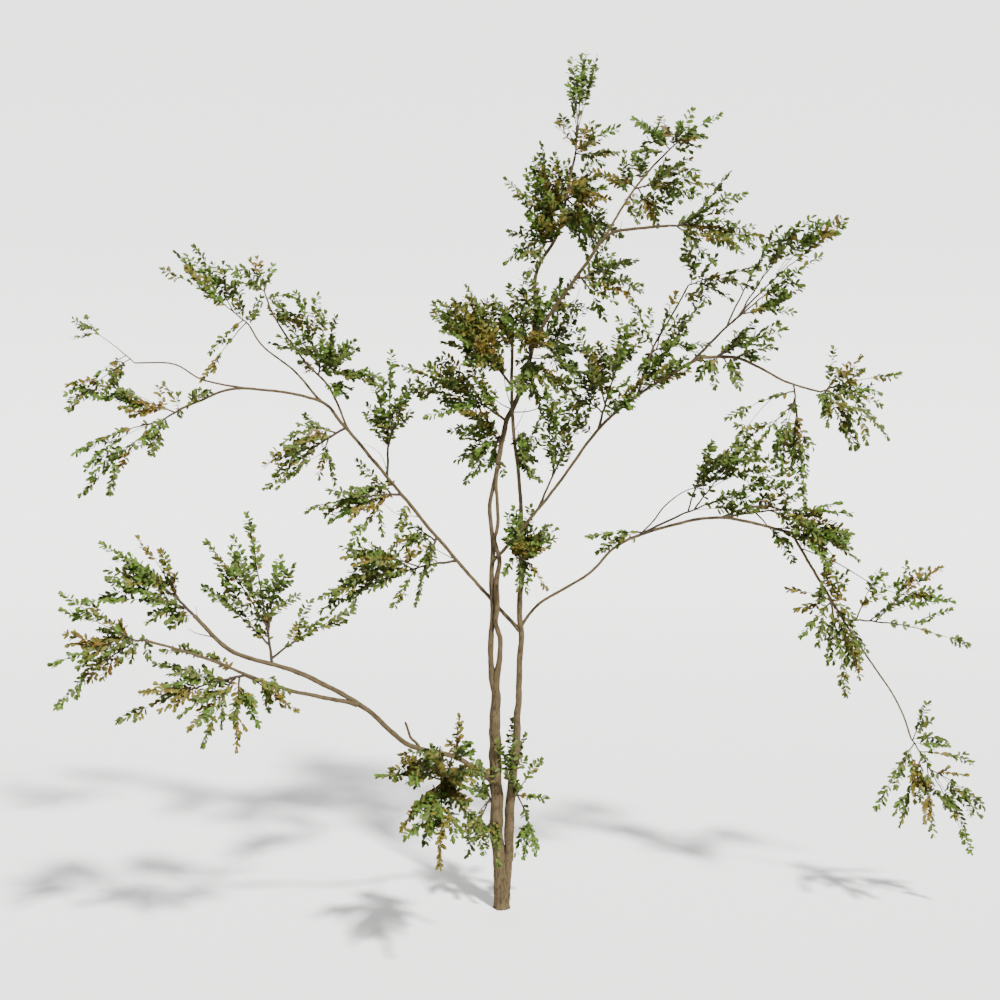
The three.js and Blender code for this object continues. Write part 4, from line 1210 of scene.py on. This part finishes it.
RING_GAPS = (5.5, 14)  # between the rings of a thin and of a thick limb, in millimetres
BARK_FACE = 4.8  # the width of a face on the bark, in millimetres
SIDES = (9, 60)  # the fewest and the most faces round a limb
BARK_SWELL = 1.5  # how much the bark adds to a limb's radius, in millimetres
COLLAR = 0.45  # how much wider a bough is where it leaves its parent, as a share
WAVER_SEED = 1  # Blender's vector noise takes its seed from the clock unless it is given one


def bark_height(grain, width):
    """Height of the bark from 0 down in a fissure to 1 on a plate, at places in the grain's own space."""
    across = grain / np.array([width, width, 4.5 * width])
    heights = np.empty(len(grain))
    for number, place in enumerate(across.tolist()):
        plates = min(1, abs(noise.noise(place)) * 3.4)
        crumble = 0.25 * noise.noise((3.1 * place[0], 3.1 * place[1], 3.1 * place[2]))
        heights[number] = plates + crumble
    return heights


def ring_frames(places):
    """Two directions across a path at each place, turning as little as they can."""
    headings = np.gradient(places, axis=0)
    headings /= np.linalg.norm(headings, axis=1)[:, None]
    across = unit(np.cross(headings[0], np.array([0.31, 1, 0.17])))
    first, second = [], []
    for heading in headings:
        across = unit(across - heading * across.dot(heading))
        first.append(across)
        second.append(np.cross(heading, across))
    return np.array(first), np.array(second)


def bark_tube(skin, path, radii, settings, seed, start_at=0, collar=0.0):
    """Adds one limb with its relief.

    collar is how much wider the limb is where it comes out of its parent, and start_at is how far along
    it that is.
    """
    thick = max(radii)
    step = min(max(0.55 * thick, RING_GAPS[0]), RING_GAPS[1])
    sides = int(min(max(2 * math.pi * thick / BARK_FACE, SIDES[0]), SIDES[1]))
    rings = math.ceil(path.length / step) + 1
    along = np.linspace(0, 1, rings)
    places = path.at(along)
    walked = along * path.length
    radius = taper(radii, along) * (1 + 0.12 * min(1, thick / 42) ** 2) + BARK_SWELL
    radius *= 1 + collar * np.exp(-np.maximum(walked - start_at, 0) / (1.6 * radii[0]))
    noise.seed_set(WAVER_SEED)
    wobble = np.array([noise.noise_vector((seed, w / 140, 0)) for w in walked]) * 0.35 * radius[:, None]
    wobble *= np.minimum(1, np.minimum(walked, path.length - walked) / 60)[:, None]
    places = places + wobble
    first, second = ring_frames(places)
    turn = np.linspace(0, 2 * math.pi, sides, endpoint=False)
    ways = np.cos(turn)[None, :, None] * first[:, None] + np.sin(turn)[None, :, None] * second[:, None]
    grain = np.stack(np.broadcast_arrays(
        radius[:, None] * np.cos(turn)[None], radius[:, None] * np.sin(turn)[None],
        walked[:, None] + 911.0 * seed), axis=-1) * MM
    width = settings.fissure_width * mix(0.3, 1, min(1, thick / 46))
    height = bark_height(grain.reshape(-1, 3), width).reshape(rings, sides)
    depth = np.minimum(settings.fissure_depth / MM, 0.09 * radius)[:, None]
    knobs = np.array([[noise.noise((seed + 0.8 * math.cos(t), 0.8 * math.sin(t), w / (3.2 * thick)))
                       for t in turn] for w in walked]) * 0.16 * radius[:, None]
    reach = radius[:, None] + knobs + depth * (height - 0.8)
    round_off = np.sqrt(np.clip(np.minimum(walked + 0.2 * radius, path.length - walked + 0.2 * radius)
                                / radius, 0.05, 1))
    rows = places[:, None] + ways * (reach * round_off[:, None])[:, :, None]
    skin.add_rows(rows * MM, grain, height)


def bark_trunk(skin, settings):
    """The trunk: two stems grown together, with a crease down from their fork and a flare at the ground."""
    rings, sides = 64, 116
    heights = np.linspace(0, 1, rings) ** 1.15 * (TRUNK_TOP + 30)
    turn = np.linspace(0, 2 * math.pi, sides, endpoint=False)
    rows = np.empty((rings, sides, 3))
    for ring, z in enumerate(heights):
        share = min(1, z / TRUNK_TOP)
        narrowed = 8 * max(0, (z - 410) / 120)  # both tops end inside their stems
        left, right = (np.array([mix(*foot[0], share), 0]) for foot in (LEFT_FOOT, RIGHT_FOOT))
        left_radius, right_radius = (mix(*foot[1], share) - narrowed for foot in (LEFT_FOOT, RIGHT_FOOT))
        blend = mix(*FOOT_BLEND, share)
        centre = np.array([mix(*TRUNK_MIDDLE, share), 0])
        ways = np.stack([np.cos(turn), np.sin(turn)], axis=1)
        inside, outside = np.zeros(sides), np.full(sides, 160.0)
        for _ in range(22):
            middle = (inside + outside) / 2
            spot = centre + ways * middle[:, None]
            from_left = np.linalg.norm(spot - left, axis=1) - left_radius
            from_right = np.linalg.norm(spot - right, axis=1) - right_radius
            near = np.maximum(blend - np.abs(from_left - from_right), 0) / blend
            level = np.minimum(from_left, from_right) - near * near * blend / 4
            inside = np.where(level < 0, middle, inside)
            outside = np.where(level < 0, outside, middle)
        lobes = 1 + 0.35 * np.sin(3 * turn + 0.6) + 0.2 * np.sin(5 * turn)
        flare = FLARE[0] * math.exp(-z / FLARE[1]) * lobes
        reach = middle + flare
        rows[ring] = np.column_stack([centre[0] + ways[:, 0] * reach, ways[:, 1] * reach, np.full(sides, z)])
    grain = rows * MM
    height = bark_height(grain.reshape(-1, 3), settings.fissure_width).reshape(rings, sides)
    outward = rows - rows.mean(1, keepdims=True)
    outward /= np.linalg.norm(outward, axis=2, keepdims=True)
    spots = (rows / 70).reshape(-1, 3).tolist()
    swell = np.array([noise.noise(spot) for spot in spots]).reshape(rings, sides)
    push = (height - 0.8) * settings.fissure_depth / MM + swell * 5
    rows = rows + outward * push[:, :, None]
    rows[0, :, 2] = 0
    rows[:, :, 2] = np.maximum(rows[:, :, 2], 0)
    skin.add_rows(rows * MM, grain, height)


def leaf_shape(name, half_width, fold, curl, twist):
    """A leaf one unit long: oval with a short point, folded a little along its midrib."""
    points = [(0, 0, 0)]
    for x, share in ((0.26, 0.85), (0.74, 0.95)):
        drop = -curl * x * x
        y = half_width * share
        lift = fold * y
        points += [(x, y, drop + lift * (1 + twist)), (x, 0, drop), (x, -y, drop + lift * (1 - twist))]
    points.append((1, 0, -curl))
    faces = [(0, 2, 1), (0, 3, 2), (1, 2, 5, 4), (2, 3, 6, 5), (4, 5, 7), (5, 6, 7)]
    mesh = bpy.data.meshes.new(name)
    mesh.from_pydata(points, [], faces)
    mesh.shade_smooth()
    layer = mesh.uv_layers.new(name="leaf_map")
    corners = [points[loop.vertex_index] for loop in mesh.loops]
    layer.data.foreach_set("uv", [value for x, y, _ in corners for value in (x, 0.5 + y)])
    return bpy.data.objects.new(name, mesh)


def new_node_group(name, sockets):
    """A geometry node group: itself, its nodes, the named inputs and their identifiers."""
    group = bpy.data.node_groups.new(name, "GeometryNodeTree")
    identifiers = {}
    for label, kind in {"Geometry": "Geometry", **sockets, "Material": "Material"}.items():
        socket = group.interface.new_socket(label, in_out="INPUT", socket_type="NodeSocket" + kind)
        identifiers[label] = socket.identifier
    group.interface.new_socket("Geometry", in_out="OUTPUT", socket_type="NodeSocketGeometry")
    nodes = NodeTree(group)
    return group, nodes, nodes.add("NodeGroupInput").outputs, identifiers


def finish_group(nodes, start, made):
    """Ends a group: instances realized and the material set."""
    realized = nodes.add("GeometryNodeRealizeInstances", {"Geometry": made}).outputs["Geometry"]
    inputs = {"Geometry": realized, "Material": start["Material"]}
    painted = nodes.add("GeometryNodeSetMaterial", inputs).outputs["Geometry"]
    nodes.add("NodeGroupOutput", {"Geometry": painted})


def named_attribute(nodes, name, kind):
    reader = nodes.add("GeometryNodeInputNamedAttribute", {"Name": name}, data_type=kind)
    return reader.outputs["Attribute"]


def leaf_nodes():
    """Sets one of a few leaves on each point, turned along the point's own directions."""
    group, nodes, start, identifiers = new_node_group(
        "leaves_on_points", {"Leaves": "Collection", "Seed": "Int"})
    shapes = nodes.add("GeometryNodeCollectionInfo", {
        "Collection": start["Leaves"],
        "Separate Children": True,
    })
    pick = nodes.add("FunctionNodeRandomValue", {"Seed": start["Seed"]}, data_type="INT")
    turn = nodes.add("FunctionNodeAxesToRotation", {
        "Primary Axis": named_attribute(nodes, "leaf_along", "FLOAT_VECTOR"),
        "Secondary Axis": named_attribute(nodes, "leaf_face", "FLOAT_VECTOR"),
    }, primary_axis="X", secondary_axis="Z")
    place = nodes.add("GeometryNodeInstanceOnPoints", {
        "Points": start["Geometry"],
        "Instance": shapes.outputs["Instances"],
        "Pick Instance": True,
        "Instance Index": next(socket for socket in pick.outputs if socket.enabled),
        "Rotation": turn.outputs["Rotation"],
        "Scale": named_attribute(nodes, "leaf_size", "FLOAT"),
    })
    finish_group(nodes, start, place.outputs["Instances"])
    return group, identifiers


def twig_nodes():
    """Turns lines into thin round twigs, as thick at each point as the line says."""
    group, nodes, start, identifiers = new_node_group("twigs_on_lines", {"Sides": "Int"})
    lines = nodes.add("GeometryNodeMeshToCurve", {"Mesh": start["Geometry"]})
    ring = nodes.add("GeometryNodeCurvePrimitiveCircle", {"Resolution": start["Sides"], "Radius": 1.0})
    sweep = nodes.add("GeometryNodeCurveToMesh", {
        "Curve": lines.outputs["Curve"],
        "Profile Curve": ring.outputs["Curve"],
        "Scale": named_attribute(nodes, "twig_radius", "FLOAT"),
        "Fill Caps": True,
    })
    finish_group(nodes, start, sweep.outputs["Mesh"])
    return group, identifiers


def settled(source, name, group, values):
    """Runs a node group on an object and gives the plain mesh it makes as a new object."""
    modifier = source.modifiers.new(group.name, "NODES")
    modifier.node_group = group
    for identifier, value in values.items():
        modifier[identifier] = value
    evaluated = source.evaluated_get(bpy.context.evaluated_depsgraph_get())
    mesh = bpy.data.meshes.new_from_object(evaluated)
    source.modifiers.clear()
    bpy.data.objects.remove(source)
    mesh.name = name
    return add_object(name, mesh)


def finished(piece, slot, nodes):
    """Says what a piece rides on and which solids it stands for, after making sure it has faces. slot is not
    used.
    """
    if not len(piece.data.polygons):
        raise RuntimeError(piece.name + " has no faces")
    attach(piece, "root")
    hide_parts(*nodes)


def clear_leaves(places, reaches):
    """Which leaves stay inside the solids' box and clear of the limbs."""
    starts, ends, radii = limb_pieces()
    low, high = (np.array(corner) for corner in CAD_BOX)
    tips = places + reaches
    kept = ((tips > low) & (tips < high)).all(1)
    for spot in (places + reaches * 0.5, tips):
        kept &= (nearest(spot / MM, starts, ends) - radii).min(1) > LEAF_CLEARANCE
    return kept


# Operators

class BUSHWILLOW_OT_trunk_and_stems(bpy.types.Operator):
    """Make the trunk, its two stems and the leader with their bark"""

    bl_idname = "bushwillow.trunk_and_stems"
    bl_label = "Trunk and stems"

    def execute(self, context):
        settings = context.scene.bushwillow_bark
        skin = Skin()
        bark_trunk(skin, settings)
        limbs = grown_limbs()
        for seed, name in enumerate(STEMS):
            limb = limbs[name]
            route = [tuple(place) for place in limb.path.at(np.linspace(0, 1, 40))]
            if name != "leader":
                onward = 0.06 * (route[1][0] - route[0][0])
                route.insert(0, tuple(np.array(route[0]) - np.array([onward, 0, FOOT_SINK])))
            bark_tube(skin, smooth_path(route), limb.radii, settings, seed=seed)
        bark_tube(skin, smooth_path(TWIN[1]), TWIN[0], settings, seed=7)
        piece = skin.to_object("trunk_and_stems", bark_material(settings))
        finished(piece, "bark", ["trunk", *STEMS])
        return {"FINISHED"}


class BUSHWILLOW_OT_boughs(bpy.types.Operator):
    """Make the boughs and the dead stub, each bough with a collar where it leaves its parent"""

    bl_idname = "bushwillow.boughs"
    bl_label = "Boughs"

    def execute(self, context):
        settings = context.scene.bushwillow_bark
        skin = Skin()
        limbs = grown_limbs()
        boughs = [name for name in LIMBS if name not in STEMS]
        for seed, name in enumerate(boughs):
            parent, at, radii, _ = LIMBS[name]
            inside = limbs[parent].radius_at(at) if at < 1 else 0
            collar = COLLAR if at < 1 else 0
            bark_tube(skin, limbs[name].path, radii, settings, 11 + seed, inside, collar)
        bark_tube(skin, smooth_path(STUB[1]), STUB[0], settings, seed=41)
        piece = skin.to_object("boughs", bpy.data.materials["fissured_bark"])
        finished(piece, "bark", boughs)
        return {"FINISHED"}


class BUSHWILLOW_OT_twigs(bpy.types.Operator):
    """Make all thin twigs"""

    bl_idname = "bushwillow.twigs"
    bl_label = "Twigs"

    def execute(self, context):
        settings = context.scene.bushwillow_foliage
        growth = grown_foliage(settings.leaf_length, settings.leaf_gap)
        group, sockets = twig_nodes()
        material = twig_material(context.scene.bushwillow_bark)
        for name, lines, sides in (("twigs", growth.lines, 5), ("fine_twigs", growth.shoots, 3)):
            points, edges, radii = [], [], []
            for places, thick, thin in lines:
                first = len(points)
                points += [tuple(place) for place in places]
                edges += [(first + k, first + k + 1) for k in range(len(places) - 1)]
                radii += np.linspace(thick, thin, len(places)).tolist()
            mesh = bpy.data.meshes.new(name + "_lines")
            mesh.from_pydata(points, edges, [])
            add_values(mesh, "twig_radius", "FLOAT", "value", radii)
            piece = settled(add_object(name + "_lines", mesh), name, group, {
                sockets["Sides"]: sides, sockets["Material"]: material})
            finished(piece, "bark", MASSES)
        return {"FINISHED"}


class BUSHWILLOW_OT_leaves(bpy.types.Operator):
    """Make the leaves, each colour as its own piece"""

    bl_idname = "bushwillow.leaves"
    bl_label = "Leaves"

    def execute(self, context):
        settings = context.scene.bushwillow_foliage
        growth = grown_foliage(settings.leaf_length, settings.leaf_gap)
        shapes = bpy.data.collections.new("leaf_shapes")
        for name, *measures in LEAF_SHAPES:
            shapes.objects.link(leaf_shape(name, *measures))
        group, sockets = leaf_nodes()
        for number, (kind, slot) in enumerate(LEAF_KINDS.items()):
            places, along, face, size = (np.array(column) for column in zip(*growth.leaves[kind]))
            kept = clear_leaves(places, along * size[:, None])
            mesh = bpy.data.meshes.new(kind + "_points")
            mesh.from_pydata(places[kept].tolist(), [], [])
            add_values(mesh, "leaf_along", "FLOAT_VECTOR", "vector", along[kept])
            add_values(mesh, "leaf_face", "FLOAT_VECTOR", "vector", face[kept])
            add_values(mesh, "leaf_size", "FLOAT", "value", size[kept])
            tints = np.random.default_rng(number).random(int(kept.sum()))
            add_values(mesh, "tint", "FLOAT", "value", tints)
            material = leaf_material(kind, getattr(settings, kind))
            piece = settled(add_object(kind + "_points", mesh), "leaves_" + kind, group, {
                sockets["Leaves"]: shapes, sockets["Seed"]: number, sockets["Material"]: material})
            finished(piece, slot, sorted(growth.masses[kind]))
        return {"FINISHED"}


# The stage, in metres
FLOOR_EDGES = (-40, 14)  # in front, and where it starts to curve up behind
FLOOR_CURVE = 8  # the curve's radius
FLOOR_SIDE = 60  # how far the floor goes to each side
BACKDROP_TOP = 30
KEY_FROM = Vector((0.435, -0.753, 1))  # the way to the key light
CAMERA_PLACE = (-0.012, -11.1)  # to the right, and away


class BUSHWILLOW_OT_stage(bpy.types.Operator):
    """Make the floor, the light and the camera"""

    bl_idname = "bushwillow.stage"
    bl_label = "Stage"

    def execute(self, context):
        settings = context.scene.bushwillow_stage
        front, back = FLOOR_EDGES
        profile = [(front, 0), (back, 0)]
        for t in np.linspace(0.1, math.pi / 2, 16):
            profile.append((back + FLOOR_CURVE * math.sin(t), FLOOR_CURVE - FLOOR_CURVE * math.cos(t)))
        profile.append((back + FLOOR_CURVE, BACKDROP_TOP))
        points = [(x, y, z) for y, z in profile for x in (-FLOOR_SIDE, FLOOR_SIDE)]
        faces = [(2 * k, 2 * k + 1, 2 * k + 3, 2 * k + 2) for k in range(len(profile) - 1)]
        mesh = bpy.data.meshes.new("floor")
        mesh.from_pydata(points, [], faces)
        mesh.shade_smooth()
        material, nodes, shader = new_material("pale_floor", 1, 0)
        nodes.fill(shader, {"Base Color": (0.87, 0.87, 0.87, 1)})
        add_object("floor", mesh, material)

        light = bpy.data.lights.new("key", "SUN")
        light.energy = settings.key_strength
        light.angle = settings.key_softness
        light.color = (1, 0.985, 0.96)
        key = bpy.data.objects.new("key", light)
        key.rotation_euler = KEY_FROM.to_track_quat("Z", "Y").to_euler()
        context.scene.collection.objects.link(key)

        world = bpy.data.worlds.new("studio")
        world.use_nodes = True
        world.node_tree.nodes["Background"].inputs["Color"].default_value = (0.93, 0.96, 1, 1)
        world.node_tree.nodes["Background"].inputs["Strength"].default_value = settings.fill_strength
        context.scene.world = world

        lens = bpy.data.cameras.new("view")
        lens.lens = 50
        lens.sensor_width = 36
        lens.clip_end = 200
        camera = bpy.data.objects.new("view", lens)
        camera.matrix_world = (Matrix.Translation((*CAMERA_PLACE, settings.camera_height))
                               @ Matrix.Rotation(math.pi / 2 - settings.camera_pitch, 4, "X"))
        context.scene.collection.objects.link(camera)
        context.scene.camera = camera
        return {"FINISHED"}


class BUSHWILLOW_PT_tree(bpy.types.Panel):
    """The tree's settings and steps"""

    bl_idname = "BUSHWILLOW_PT_tree"
    bl_label = "Velvet bushwillow"
    bl_space_type = "VIEW_3D"
    bl_region_type = "UI"
    bl_category = "Bushwillow"

    def draw(self, context):
        for operator in OPERATORS:
            self.layout.operator(operator.bl_idname)
        for name, settings in SETTINGS.items():
            box = self.layout.box()
            for key in settings.__annotations__:
                box.prop(getattr(context.scene, name), key)


SETTINGS = {
    "bushwillow_bark": BushwillowBark,
    "bushwillow_foliage": BushwillowFoliage,
    "bushwillow_stage": BushwillowStage,
}
OPERATORS = (
    BUSHWILLOW_OT_trunk_and_stems,
    BUSHWILLOW_OT_boughs,
    BUSHWILLOW_OT_twigs,
    BUSHWILLOW_OT_leaves,
    BUSHWILLOW_OT_stage,
)


def register():
    for shown in (*SETTINGS.values(), *OPERATORS, BUSHWILLOW_PT_tree):
        bpy.utils.register_class(shown)
    for name, settings in SETTINGS.items():
        setattr(bpy.types.Scene, name, bpy.props.PointerProperty(type=settings))


def unregister():
    for name in SETTINGS:
        delattr(bpy.types.Scene, name)
    for shown in (*SETTINGS.values(), *OPERATORS, BUSHWILLOW_PT_tree):
        bpy.utils.unregister_class(shown)


def main():
    register()
    bpy.ops.bushwillow.trunk_and_stems()
    bpy.ops.bushwillow.boughs()
    bpy.ops.bushwillow.twigs()
    bpy.ops.bushwillow.leaves()
    bpy.ops.bushwillow.stage()


if __name__ == "__main__":
    main()
